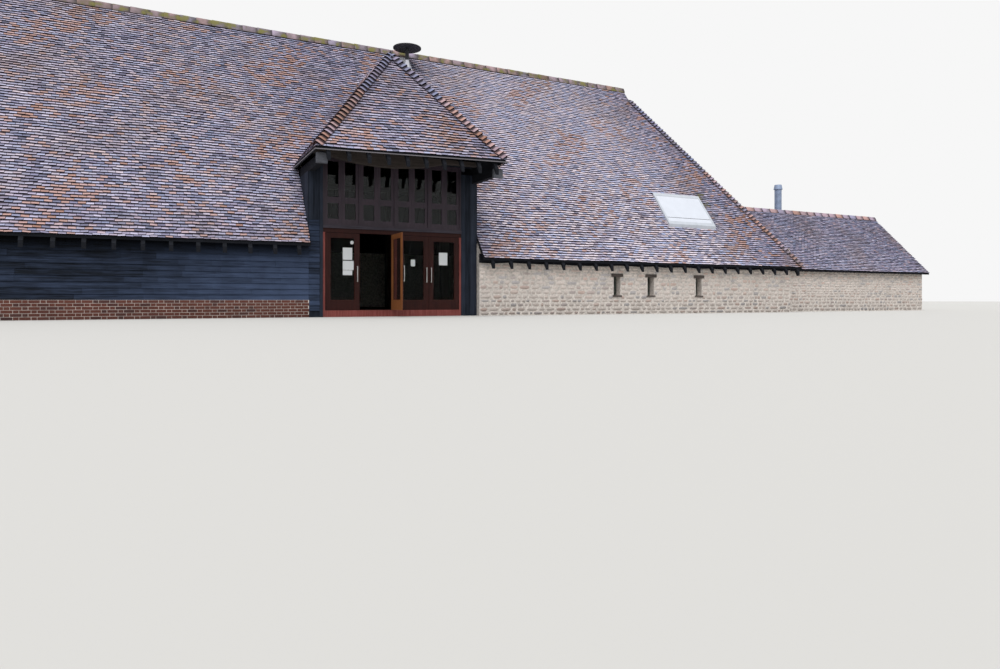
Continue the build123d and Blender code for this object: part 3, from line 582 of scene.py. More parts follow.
def tile_courses(slope, rng):
    """Corners of one slope's tiles, then their tones, damps, blooms with painted sheen, and cut of painted shade.

    Tails lie at multiples of the gauge up the slope, every second course is shifted by half a tile, and
    each tile is clipped at the slope's edges. A tile falls by its own thickness from tail to the next tail.
    """
    roof = settings("roof")
    gauge, width = roof.gauge, roof.width
    first = np.ceil(slope.low / gauge + 0.5) * gauge
    tails = np.append(slope.low, np.arange(first, slope.high - gauge * 0.3, gauge))
    heads = np.minimum(np.append(tails[1:], slope.high) + roof.lap, slope.high)
    ends = np.array([slope.edges(v) for v in (slope.low, slope.high, *slope.left[1], *slope.right[1])])
    columns = np.arange(np.floor(ends.min() / width) - 1, np.ceil(ends.max() / width) + 1)
    rows = np.round(tails / gauge).astype(int)
    shape = (len(tails), len(columns))
    shift = (rows % 2)[:, None] * width / 2 + rng.uniform(-COURSE_SHIFT, COURSE_SHIFT, len(tails))[:, None]
    start = columns[None] * width + shift + rng.uniform(-TILE_SHIFT, TILE_SHIFT, shape)
    finish = start + width - roof.joint
    above = (tails - slope.low)[:, None]
    wave = np.sin(start * 1.15 + above * 0.4) + 0.6 * np.sin(start * 2.6 - above * 1.1 + 2.0)
    bend = roof.wander / 1.6 * np.clip(above / 0.8, 0, 1) * np.clip((slope.high - tails)[:, None], 0, 1) * wave
    tail = tails[:, None] + bend + rng.normal(0, TAIL_SCATTER, shape)
    tail[0] = tails[0] + rng.uniform(0, EAVE_SCATTER, len(columns)) + 0.012 * (1 + wave[0] / 1.6)
    tail = np.maximum(tail, slope.low)
    head = np.minimum(heads[:, None] + bend, slope.high)
    if slope.hole:
        (u0, u1), (v0, v1) = slope.hole
        middle = (start + finish) / 2
        beside = (tail > v0 - gauge * 0.2) & (tail < v1)
        over = (tail <= v0 - gauge * 0.2) & (head > v0) & (finish > u0) & (start < u1)
        head[over] = v0
        finish = np.where(beside & (middle < (u0 + u1) / 2), np.minimum(finish, u0), finish)
        start = np.where(beside & (middle >= (u0 + u1) / 2), np.maximum(start, u1), start)
    quads = []
    # Courses stop short of an upright verge by uneven amounts
    short = rng.uniform(0, VERGE_SCATTER, (2, len(tails), 1))
    bounds = [slope.edges(v) for v in (tail, head)]
    # The middle, where two fields meet, is no verge
    upright = [(np.abs(low - high) < 1e-6) & (np.abs(slope.at(low, tail, 0.0)[..., 0]) > 1)
               for low, high in zip(*bounds)]
    for left, right in bounds:
        left = left + short[0] * upright[0]
        right = right - short[1] * upright[1]
        quads.append((np.clip(start, left, right), np.clip(finish, left, right)))
    (tail_left, tail_right), (head_left, head_right) = quads
    mean = (tail_right - tail_left + head_right - head_left) / 2
    keep = (mean > LEAST_WIDTH) & (head - tail > LEAST_LENGTH)
    tail_right = np.maximum(tail_right, tail_left + LEAST_POINT)
    head_right = np.maximum(head_right, head_left + LEAST_POINT)
    top = -sway(start, tail, roof.sway) - rng.uniform(0, HEIGHT_SCATTER, shape)
    lean = rng.normal(0, TILT, shape)
    skew = rng.normal(0, TILT, shape)
    fall = (roof.thickness + roof.lift) * (head - tail) / gauge + rng.uniform(0, FALL_SCATTER, shape)
    heights = (top + lean, top - lean, top - fall - lean, top - fall + lean)
    ring = ((tail_left, np.maximum(tail + skew, slope.low)), (tail_right, np.maximum(tail - skew, slope.low)),
            (head_right, head), (head_left, head))
    corners = np.stack([slope.at(u, v, np.minimum(h, 0.0) - depth) for depth in (roof.thickness, 0.0)
                        for (u, v), h in zip(ring, heights)], axis=2)
    return [part[keep] for part in (corners, *weathering(slope, start, tail, rng))]


def weathering(slope, start, tail, rng):
    """Tones, damps, blooms with painted sheen, and cut of painted shade of tiles, from the places of their left
    sides and tails.

    Each is a sum of waves and of values that rise or fall in a straight line between two places.
    """
    left, right = slope.edges(tail)
    # Damp gathers along the top, at the edges and right of the rooflight
    damp = np.maximum(0.52 - (slope.high - tail) * 1.1, 0.3 - np.minimum(start - left, right - start) * 0.8)
    if slope.hole:
        (_, side), (foot, head) = slope.hole
        near_light = (start > side - 0.1) & (start < side + 0.3) & (tail > foot - 0.1) & (tail < head + 0.2)
        damp = np.where(near_light, 0.48, damp)
    damp = np.clip(damp + 0.06 * (np.sin(start * 0.9) + np.sin(tail * 2.0 + start * 0.4)), 0, 1)
    # Painted sheen: the stone half is paler all over, from the sky's glare on it, and the boarded half is paler
    # above its lowest courses
    surface = slope.at(start, tail, 0.0)
    x, level = surface[..., 0], surface[..., 2]
    boarded = np.clip(-x - 2, 0, 1)
    bloom = np.exp(-(tail - slope.low) / 1.6) * (0.8 + 0.2 * np.sin(start * 1.7))
    bloom = 0.15 + bloom * (0.3 - 0.14 * boarded) + 0.32 * boarded * np.clip(level - 2.4, 0, 1)
    # Painted sheen of the sky's glare over the stone half
    bloom = bloom + 1.05 * np.clip(x / 5, 0, 1) * np.clip((14 - x) / 4, 0, 1)
    # The stone half's upper courses are more even, and they are darker along the hip
    even = np.clip((x - 1) / 3, 0, 1) * np.clip((level - 3.5) / 2.5, 0, 1)
    bloom = bloom * (1 + 0.9 * (1 - 0.6 * even) * rng.uniform(-1, 1, start.shape)) * (1 - 0.25 * even)
    bloom = bloom * np.where(x > 1, np.clip((right - start) / 3, 0.2, 1), 1)
    # Redder tiles come in clusters
    cluster = np.sin(start * 2.1 + 1.3 * np.sin(tail * 1.7)) + np.sin(start * 0.9 - tail * 1.9 + 1.0)
    redder = (cluster > 0.8) & (rng.random(start.shape) < 0.35)
    tone = np.where(redder, rng.uniform(0.83, 0.895, start.shape), rng.random(start.shape))
    bloom = np.where(redder, 0.4, 1.0) * bloom
    # More painted shade shows between the stone half's lowest courses, and less between its upper ones
    shade_cut = 0.14 * even - 0.12 * (1 - even) * np.clip(x, 0, 1) * np.clip((8 - x) / 3, 0, 1)
    return tone, damp, bloom, shade_cut


def batten_blocks(slope):
    """Battens and boards under the tiles, as blocks cut upright at the slope's edges."""
    drop = settings("roof").batten_drop
    depth = COVERING_DROP - 0.003 - drop
    parts = []
    for low, high, left, right in slope.spans(settings("roof").batten_back):
        ring = ((left[0], low), (right[0], low), (right[1], high), (left[1], high))
        top = [slope.at(u, v, 0.0) - UP * drop for u, v in ring]
        parts.append([p - UP * depth for p in top] + top)
    return np.array(parts)


# Depth of the covering's solids, measured straight down
COVERING_DROP = 0.17
# How far back the entrance roof's hips meet
PORCH_APEX_Y = 0.62


class MainRoof:
    """Corners of the main roof, from the boxes of its solids."""

    def __init__(self):
        """Reads the ridge, eaves, pitches and gablets from the boxes."""
        left, right, hips = map(box, ("front_roof_left", "front_roof_right", "hip_roofs"))
        self.centre, self.ridge_y, self.ridge_level = left[1]
        self.slope = (self.ridge_level - left[0][2] - COVERING_DROP) / (self.ridge_y - left[0][1])
        self.pitch = np.arctan(self.slope)
        self.ends = hips[:, 0]
        self.gablets = box("ridge_tiles")[:, 0]
        self.eaves = np.array((left[0][1], right[0][1]))
        self.cheeks = box("porch_cheeks")[:, 0]
        self.gablet_y = self.y_at(hips[1][2])
        fall = hips[1][2] - self.level(self.eaves)
        self.end_pitch = np.arctan(fall / np.abs(self.ends - self.gablets))

    def level(self, y):
        """Top of the tiles at y on the front slope."""
        return self.ridge_level - (self.ridge_y - y) * self.slope

    def y_at(self, level):
        """Where the front slope has that level."""
        return self.ridge_y - (self.ridge_level - level) / self.slope

    def point(self, x, y, back=False):
        """A point on the front slope, or its mirror on the back slope."""
        return (x, 2 * self.ridge_y - y if back else y, self.level(y))


class PorchRoof:
    """Corners of the entrance roof, from the box of its solid."""

    def __init__(self, main):
        """Reads the eave, ridge and slopes from the box, and the valleys from the main roof."""
        low, high = box("porch_roof")
        self.front_y, self.back_y = low[1], high[1]
        self.ridge_level = high[2]
        self.eave_level = low[2] + COVERING_DROP
        self.half = (high[0] - low[0]) / 2
        self.centre = (high[0] + low[0]) / 2
        self.side_slope = (self.ridge_level - self.eave_level) / self.half
        self.front_slope = (self.ridge_level - self.eave_level) / (PORCH_APEX_Y - self.front_y)
        self.valley_foot = main.y_at(self.eave_level)
        self.apex = (self.centre, PORCH_APEX_Y, self.ridge_level)
        self.back = (self.centre, self.back_y, self.ridge_level)

    def twisted(self, points):
        """Points with the old roof's twist: its right-hand front corner stands higher than the left-hand one.

        The rise is twist * beta * gamma. Beta goes from nought at the left hip to one at the right-hand corner: it is
        half the sum of the fall below the ridge and of x over the half width. Gamma goes from one on the hips to
        nought in the valleys.
        """
        x, y, z = np.moveaxis(points, -1, 0)
        fall = np.clip((self.ridge_level - z) / (self.ridge_level - self.eave_level), 0, 1)
        beta = np.clip((fall + (x - self.centre) / self.half) / 2, 0, 1)
        hip = self.front_y + (1 - fall) * (PORCH_APEX_Y - self.front_y)
        valley = self.valley_foot + (1 - fall) * (self.back_y - self.valley_foot)
        gamma = np.clip((valley - y) / (valley - hip), 0, 1)
        return points + (settings("roof").twist * beta * gamma)[..., None] * UP

    def valley_y(self, main, x):
        """Where the valley lies at x."""
        return main.y_at(self.ridge_level - abs(x - self.centre) * self.side_slope)


def main_slopes():
    """The front slopes each side of the entrance, the rear slope's two halves and the hipped ends."""
    main = MainRoof()
    porch = PorchRoof(main)
    lights = box("rooflight_frame")
    hole = [main.point(lights[0][0], lights[0][1]), main.point(lights[1][0], lights[1][1])]
    outer = [[main.point(main.ends[i], main.eaves[i]), main.point(main.gablets[i], main.gablet_y),
              main.point(main.gablets[i], main.ridge_y)] for i in (0, 1)]
    inner = [[main.point(x, main.eaves[i]), main.point(x, porch.valley_y(main, x)),
              main.point(main.centre, porch.back_y), main.point(main.centre, main.ridge_y)]
             for i, x in enumerate(main.cheeks)]
    behind = [[main.point(p[0], p[1], back=True) for p in edge] for edge in outer]
    middle = [[main.point(main.centre, main.eaves[i], back=True),
               main.point(main.centre, main.ridge_y, back=True)] for i in (0, 1)]
    return {
        "front_tiles_left": ([Slope(FRONT, main.pitch, outer[0], inner[0])], ["front_roof_left"]),
        "front_tiles_right": ([Slope(FRONT, main.pitch, inner[1], outer[1], hole)], ["front_roof_right"]),
        "rear_tiles_left": ([Slope(REAR, main.pitch, middle[0], behind[0])], ["rear_roof"]),
        "rear_tiles_right": ([Slope(REAR, main.pitch, behind[1], middle[1])], ["rear_roof"]),
        "end_tiles": ([Slope(LEFT, main.end_pitch[0], behind[0][:2], outer[0][:2]),
                       Slope(RIGHT, main.end_pitch[1], outer[1][:2], behind[1][:2])], ["hip_roofs"]),
    }


def porch_slopes():
    """Front slope and the two side slopes of the entrance roof."""
    main = MainRoof()
    porch = PorchRoof(main)
    corners = [(porch.centre + s * porch.half, porch.front_y, porch.eave_level) for s in (-1, 1)]
    feet = [(c[0], porch.valley_foot, porch.eave_level) for c in corners]
    side_pitch = np.arctan(porch.side_slope)
    slopes = [Slope(FRONT, np.arctan(porch.front_slope), [corners[0], porch.apex], [corners[1], porch.apex]),
              Slope(LEFT, side_pitch, [feet[0], porch.back], [corners[0], porch.apex]),
              Slope(RIGHT, side_pitch, [corners[1], porch.apex], [feet[1], porch.back])]
    return {"porch_tiles": (slopes, ["porch_roof"])}


def wing_slopes():
    """The two slopes of the wing, which run into the main roof's hipped end."""
    main = MainRoof()
    low, high = box("wing_roof")
    ridge_y = (low[1] + high[1]) / 2
    eave_level = low[2] + COVERING_DROP
    pitch = np.arctan((high[2] - eave_level) / (high[1] - ridge_y))

    def start_x(level):
        """Where the hipped end has that level."""
        return main.ends[1] - (level - main.level(main.eaves[1])) / np.tan(main.end_pitch[1])

    joins = [(start_x(eave_level), eave_level), (start_x(high[2]), high[2])]
    near = [[(x, y, z) for (x, z), y in zip(joins, (side, ridge_y))] for side in (low[1], high[1])]
    far = [[(high[0], side, eave_level), (high[0], ridge_y, high[2])] for side in (low[1], high[1])]
    slopes = [Slope(FRONT, pitch, near[0], far[0]), Slope(REAR, pitch, far[1], near[1])]
    return {"wing_tiles": (slopes, ["wing_roof"])}


def lay_tiles(fields, seed):
    """Makes one piece of tiles and one of battens for each field of slopes."""
    rng = np.random.default_rng(seed)
    for name, (slopes, nodes) in fields.items():
        corners, tones, damps, blooms, shade_cut = joined([tile_courses(slope, rng) for slope in slopes])
        # Reach is lower where less painted shade shows: corners 0 to 3 are the tile's inner ones
        reach = np.array((-1, -1, 1, 1, 0, 0, 1, 1)) * (1 - shade_cut[:, None])
        if name == "wing_tiles":
            # The wing's tiles are bluer
            tones = tones * 0.8
        battens = np.concatenate([batten_blocks(slope) for slope in slopes])
        if name == "porch_tiles":
            porch = PorchRoof(MainRoof())
            corners, battens = porch.twisted(corners), porch.twisted(battens)
        blocks(name, corners, material("weathered_clay_tile", clay_tile), "clay_tiles", tones, damps, blooms,
               reach=reach, replaced=nodes)
        # The battens take the near-black oak of painted shade
        blocks(name.replace("tiles", "battens"), battens, shade_black_oak_material("X"), "old_oak")


# How wide a cap's head is against its tail, how far caps lap and how round their crowns are
CAP_TAPER, CAP_LAP, CAP_ROUND = 0.8, 1.2, 0.06
# How unevenly caps lie along the row, in height and across it, and the share of a row that has the lower tone
CAP_SHIFT, CAP_SINK, CAP_DRIFT, LOWER_SHARE = 0.003, 0.004, 0.004, 0.55


def caps(start, end, across_a, across_b, length, half, crowns, edges, hidden, tone_ends, spread, seed):
    """Points, quads, tones and reaches of a row of curved cap tiles from start to end, each lapped over the last.

    Across the row a cap follows a hyperbola: height = crown + r - sqrt(r^2 + (k x)^2), round in the middle. The
    steepness k is found from where the cap's legs end, an edge height over the slopes, which fall by the
    tangent of half the angle between them. Tail and head have a crown and an edge height each, and the
    tones are the first of tone_ends below and the second above, with a random spread.
    """
    thickness = settings("roof").thickness
    rng = np.random.default_rng(seed)
    start, end = np.array(start, float), np.array(end, float)
    run = np.linalg.norm(end - start)
    lead = (end - start) / run
    out = unit(np.add(across_a, across_b))
    side = np.cross(lead, out)
    fall = tan(np.arccos(np.clip(np.dot(across_a, across_b), -1, 1)) / 2)
    count = max(1, int(run / length))
    pitch = run / count
    across = np.linspace(-1, 1, 9)
    ends = half * np.array((1.0, CAP_TAPER))[:, None]
    width = ends * across
    reach = pitch * np.arange(count)[:, None, None] + np.array((0.0, 1.0))[None, :, None] * pitch * CAP_LAP
    reach = np.minimum(reach, run) + rng.normal(0, CAP_SHIFT, (count, 1, 1)) * (reach > 0)
    crowns, edges = np.array(crowns)[:, None], np.array(edges)[:, None]
    steep = np.sqrt((crowns + CAP_ROUND + fall * ends - edges) ** 2 - CAP_ROUND ** 2) / ends
    rise = crowns + CAP_ROUND - np.sqrt(CAP_ROUND ** 2 + (steep * width) ** 2)
    rise = rise[None] + rng.uniform(-CAP_SINK, 0.0, (count, 1, 1))
    drift = rng.normal(0, CAP_DRIFT, (count, 1, 1))
    shape = np.broadcast_shapes(width.shape, reach.shape, rise.shape)
    place = [np.broadcast_to(a, shape)[..., None] for a in (reach, width + drift, rise)]
    outer = start + place[0] * lead + place[1] * side + place[2] * out
    inner = outer - out * thickness
    grid = np.stack((outer, inner), axis=1).reshape(count, -1, 3)
    m = len(across)
    i = np.arange(m - 1)
    strips = [np.stack((a, b, c, d), axis=1) for a, b, c, d in (
        (i + 1, i, m + i, m + i + 1), (2 * m + i, 2 * m + i + 1, 3 * m + i + 1, 3 * m + i),
        (i, i + 1, 2 * m + i + 1, 2 * m + i), (m + i + 1, m + i, 3 * m + i, 3 * m + i + 1))]
    rims = np.array(((m, 0, 2 * m, 3 * m), (m - 1, 2 * m - 1, 4 * m - 1, 3 * m - 1)))
    quads = np.concatenate(strips + [rims])
    quads = (np.arange(count)[:, None, None] * 4 * m + quads[None]).reshape(-1, 4)
    tones = np.where(np.linspace(0, 1, count) < LOWER_SHARE, *tone_ends) + rng.normal(0, spread, count)
    tones = np.repeat(np.clip(tones, 0, 1), 4 * m)
    reaches = np.tile(np.repeat((0, hidden, -1, hidden), m), count)
    return grid.reshape(-1, 3), quads, tones, reaches


# Crown and edge heights over the slopes at tail and head, the reach of what the next cap hides, the tones of the
# lower and upper caps, and their spread
BONNETS = ((0.074, 0.012), (0.04, -0.012), 1.15, (0.87, 0.3), 0.06)
RIDGE_CAPS = ((0.058, 0.045), (0.0, -0.012), 0.7, (0.8, 0.8), 0.03)
# How far up its hip the first bonnet starts, and how far inside the ridge's ends the ridge caps do
BONNET_START, RIDGE_INSET = 0.09, 0.01


def cap_row(name, rows, nodes, damp, bend=None):
    """One piece from several rows of cap tiles, bent if need be and kept inside the box of the solids."""
    parts = [caps(*row) for row in rows]
    points, quads, tones, reaches = joined(parts)
    counts = [len(part[0]) for part in parts]
    quads = quads + np.repeat(np.cumsum([0] + counts[:-1]), [len(part[1]) for part in parts])[:, None]
    points = np.clip(bend(points) if bend else points, *np.array(SOLIDS_BOX))
    # The main ridge is mossier at its right-hand end
    damps = damp + 0.12 * np.clip(points[:, 0] - 10.5, 0, 1) * (points[:, 2] > 8.9)
    return piece(name, points, quads, material("weathered_clay_tile", clay_tile), "clay_tiles", replaced=nodes,
                 crease=radians(50), tone=tones, reach=reaches, damp=damps, bloom=np.zeros(len(points)))


class BARN_OT_lay_main_tiles(bpy.types.Operator):
    """Lays plain tiles in broken bond on the main roof"""
    bl_idname = "barn.lay_main_tiles"
    bl_label = "Main roof tiles"

    def execute(self, context):
        lay_tiles(main_slopes(), seed=11)
        return {"FINISHED"}


class BARN_OT_lay_porch_tiles(bpy.types.Operator):
    """Lays plain tiles on the entrance roof"""
    bl_idname = "barn.lay_porch_tiles"
    bl_label = "Entrance roof tiles"

    def execute(self, context):
        lay_tiles(porch_slopes(), seed=12)
        return {"FINISHED"}


class BARN_OT_lay_wing_tiles(bpy.types.Operator):
    """Lays plain tiles on the wing"""
    bl_idname = "barn.lay_wing_tiles"
    bl_label = "Wing tiles"

    def execute(self, context):
        lay_tiles(wing_slopes(), seed=13)
        return {"FINISHED"}


class BARN_OT_cap_hips(bpy.types.Operator):
    """Puts bonnet tiles on every hip"""
    bl_idname = "barn.cap_hips"
    bl_label = "Bonnet tiles"

    def execute(self, context):
        roof = settings("roof")
        main = MainRoof()
        porch = PorchRoof(main)
        size = (roof.gauge * 1.6, roof.bonnet_half, *BONNETS)
        rows = []
        for i, facing in enumerate((LEFT, RIGHT)):
            end_out = UP * cos(main.end_pitch[i]) + np.array(facing) * sin(main.end_pitch[i])
            for back in (False, True):
                long_out = UP * cos(main.pitch) + np.array(REAR if back else FRONT) * sin(main.pitch)
                low = np.array(main.point(main.ends[i], main.eaves[i], back))
                high = np.array(main.point(main.gablets[i], main.gablet_y, back))
                low = low + unit(high - low) * BONNET_START
                rows.append((low, high, long_out, end_out, *size, 21 + 2 * i + back))
        cap_row("hip_bonnets", rows, ["hip_tiles"], 0.3)
        rows = []
        front_out = unit((0, -porch.front_slope, 1))
        for i, side in enumerate((-1, 1)):
            side_out = unit((side * porch.side_slope, 0, 1))
            low = np.array((porch.centre + side * porch.half, porch.front_y, porch.eave_level))
            low = low + unit(np.array(porch.apex) - low) * BONNET_START
            rows.append((low, porch.apex, front_out, side_out, *size, 31 + i))
        cap_row("porch_bonnets", rows, ["porch_hip_tiles"], 0.1, porch.twisted)
        return {"FINISHED"}


class BARN_OT_cap_ridges(bpy.types.Operator):
    """Puts half-round tiles on every ridge"""
    bl_idname = "barn.cap_ridges"
    bl_label = "Ridge tiles"

    def execute(self, context):
        roof = settings("roof")
        main = MainRoof()
        porch = PorchRoof(main)
        size = (roof.ridge_length, roof.ridge_half, *RIDGE_CAPS)
        outs = unit((0, -main.slope, 1)), unit((0, main.slope, 1))
        start = (main.gablets[0] + RIDGE_INSET, main.ridge_y, main.ridge_level)
        end = (main.gablets[1] - RIDGE_INSET, main.ridge_y, main.ridge_level)
        cap_row("ridge_caps", [(start, end, *outs, *size, 41)], ["ridge_tiles"], 0.52)
        outs = unit((-porch.side_slope, 0, 1)), unit((porch.side_slope, 0, 1))
        cap_row("porch_ridge_caps", [(porch.apex, porch.back, *outs, *size, 42)], [], 0.3)
        low, high = box("wing_ridge_tiles")
        roof_low, roof_high = box("wing_roof")
        ridge_y = (low[1] + high[1]) / 2
        slope = (roof_high[2] - roof_low[2] - COVERING_DROP) / (roof_high[1] - ridge_y)
        # The first cap of the wing starts inside the main roof
        start = (low[0] + 0.05, ridge_y, roof_high[2])
        end = (high[0] - RIDGE_INSET, ridge_y, roof_high[2])
        outs = unit((0, -slope, 1)), unit((0, slope, 1))
        cap_row("wing_ridge_caps", [(start, end, *outs, *size, 43)], ["wing_ridge_tiles"], 0.2)
        return {"FINISHED"}


# Walls

# Slit windows of the stone half, as in the solids: centres, width, sill and head
SLITS = (7.3, 8.65, 10.7)
SLIT_WIDTH, SLIT_SILL, SLIT_HEAD = 0.26, 0.6, 1.25
# A lintel's reach past each side of its slit, below its head and above it; a sill's reach past each side and depth
LINTEL_SIDE, LINTEL_FOOT, LINTEL_TOP, SILL_SIDE, SILL_DEPTH = 0.09, 0.06, 0.04, 0.04, 0.05
# How far a lintel and a sill stand out of the wall, and reach into it
LINTEL_OUT, LINTEL_IN, SILL_OUT, SILL_IN = 0.03, 0.03, 0.035, 0.01
# How far boards and stones stop under the tops of the tiles: on the long sides, and on the ends and cheeks
BOARDS_DROP, STONES_DROP, SIDE_BOARDS_DROP, END_STONES_DROP, WING_DROP = 0.335, 0.33, 0.12, 0.34, 0.02


class Face:
    """A wall's outer face, with u along it to the right, z up and depth h outwards."""

    def __init__(self, facing, low, high):
        """The side of the box between two corners that looks to the given level direction."""
        low, high = np.array(low[:2], float), np.array(high[:2], float)
        self.out = np.array(facing, float)
        self.along = np.cross(UP, self.out)
        self.origin = np.append(np.where((self.out > self.along)[:2], high, low), 0.0)
        self.length = abs((high - low) @ self.along[:2])

    def at(self, u, z, h):
        """Points at u, z and depth h."""
        u, z, h = np.broadcast_arrays(u, z, h)
        return (self.origin + u[..., None] * self.along + z[..., None] * UP + h[..., None] * self.out)


def level_at(height):
    """An edge of a wall that has the same height all along."""
    return lambda u: np.full_like(u, height)


def ring_blocks(face, ends, feet, heads, feet_out, heads_out, inner=0.0):
    """Blocks on a wall's face. Ends, feet, heads and how far both stand out are given at the left and the right."""
    ring = [(ends[i], z[i], out[i]) for i, z, out in ((0, feet, feet_out), (1, feet, feet_out), (1, heads, heads_out),
                                                     (0, heads, heads_out))]
    return np.stack([face.at(u, z, inner) for u, z, _ in ring] + [face.at(u, z, out) for u, z, out in ring], axis=-2)


def run_blocks(face, stations, *rest, inner=0.0):
    """Blocks in a run between stations, with feet, heads and how far both stand out given at each station."""
    pairs = [(value[:-1], value[1:]) for value in (np.broadcast_to(value, stations.shape)
                                                   for value in (stations, *rest))]
    return ring_blocks(face, *pairs, inner=inner)


# Lapped boards: their lengths, the shortest, the narrowest, the lap, half a butt joint and how far apart stations are
BOARD_LENGTHS, BOARD_LEAST, BOARD_STRIP, BOARD_LAP, BOARD_BUTT, BOARD_STEP = (2.2, 4.6), 0.8, 0.03, 0.013, 0.002, 0.7


def weatherboards(face, bottom, top, rng):
    """Corners and tones of lapped boards. Each is thicker at its foot, dips and warps in a sine and ends at a butt
    joint."""
    walls = settings("walls")
    parts = []
    for z in np.arange(bottom, top - BOARD_STRIP, walls.exposure):
        cuts = np.cumsum(rng.uniform(*BOARD_LENGTHS, int(face.length / BOARD_LENGTHS[0]) + 2))
        cuts = np.concatenate(((0.0,), cuts[cuts < face.length - BOARD_LEAST], (face.length,)))
        high = min(z + walls.exposure + BOARD_LAP, top)
        for start, end in zip(cuts, cuts[1:]):
            count = max(2, int((end - start) / BOARD_STEP) + 1)
            stations = np.linspace(start + BOARD_BUTT, end - BOARD_BUTT, count)
            dip = 0.0035 * np.sin(stations * 1.7 + z * 9) + rng.uniform(-0.002, 0.002)
            warp = 0.003 * np.sin(stations * 2.9 + z * 5) + rng.uniform(-0.001, 0.003)
            corners = run_blocks(face, stations, z + dip, high + dip * (high < top), walls.board_foot + warp,
                                 walls.board_head + warp)
            parts.append((corners, np.full(len(corners), rng.random())))
    return joined(parts)


# Upright boards: their widths, the narrowest, half the gap between two and how far they stand out
UPRIGHT_WIDTHS, UPRIGHT_LEAST, UPRIGHT_GAP, UPRIGHT_DEPTHS = (0.11, 0.17), 0.06, 0.003, (0.014, 0.022)


def upright_boards(face, bottom, top, rng):
    """Corners and tones of boards that stand side by side; bottom and top give their ends' heights at u."""
    cuts = np.cumsum(rng.uniform(*UPRIGHT_WIDTHS, int(face.length / UPRIGHT_WIDTHS[0]) + 2))
    cuts = np.concatenate(((0.0,), cuts[cuts < face.length - UPRIGHT_LEAST], (face.length,)))
    starts, ends = cuts[:-1] + UPRIGHT_GAP, cuts[1:] - UPRIGHT_GAP
    out = rng.uniform(*UPRIGHT_DEPTHS, len(starts))
    middle = (starts + ends) / 2
    feet, heads = [bottom(middle)] * 2, [top(middle)] * 2
    corners = ring_blocks(face, (starts, ends), feet, heads, (out, out), (out, out))
    return corners, rng.random(len(starts))


# Bricks: how far they stand out from the mortar, and the shortest
BRICK_DEPTHS, BRICK_LEAST = (0.003, 0.007), 0.02


def bricks(face, height, rng):
    """Corners and tones of bricks laid header and stretcher by turns, each course shifted by half a repeat."""
    walls = settings("walls")
    joint = walls.brick_joint
    header = (walls.brick_length - joint) / 2
    repeat = walls.brick_length + header + 2 * joint
    parts = []
    for row, z in enumerate(np.arange(joint / 2, height - 0.02, walls.brick_height + joint)):
        first = np.arange(-1, int(face.length / repeat) + 2) * repeat + (row % 2) * repeat / 2
        starts = np.concatenate((first, first + walls.brick_length + joint))
        ends = np.concatenate((first + walls.brick_length, first + walls.brick_length + joint + header))
        starts, ends = np.clip(starts, 0, face.length), np.clip(ends, 0, face.length)
        wide = ends - starts > BRICK_LEAST
        starts, ends = starts[wide], ends[wide]
        top = min(z + walls.brick_height, height - 0.002)
        out = rng.uniform(*BRICK_DEPTHS, len(starts))
        corners = ring_blocks(face, (starts, ends), (z, z), (top, top), (out, out), (out, out))
        parts.append((corners, rng.random(len(starts))))
    return joined(parts)


def free_spans(length, z0, z1, holes):
    """Stretches of a course from z0 to z1 that no hole (u0, u1, z0, z1) cuts."""
    spans = [(0.0, length)]
    for u0, u1, low, high in holes:
        if low < z1 - 0.02 and high > z0 + 0.02:
            spans = [part for a, b in spans for part in ((a, min(b, u0)), (max(a, u1), b))
                     if part[1] - part[0] > 0.05]
    return spans


# Stones: shares of the mean course height and length, weights of the lengths in a course, how much the corners pull
# in, how unevenly the face lies along it and out of it, the rim's depth and the swelling of the middle
STONE_RISES, STONE_LENGTHS, STONE_WEIGHTS, STONE_PULL = (0.7, 1.3), (0.85, 1.15), (0.45, 1.6), 0.12
STONE_SCATTER, STONE_ROUGH, STONE_RIM, STONE_SWELL = 0.004, 0.002, -0.012, (0.022, 0.042)
# A course lower than this is left out
LEAST_RISE = 0.03


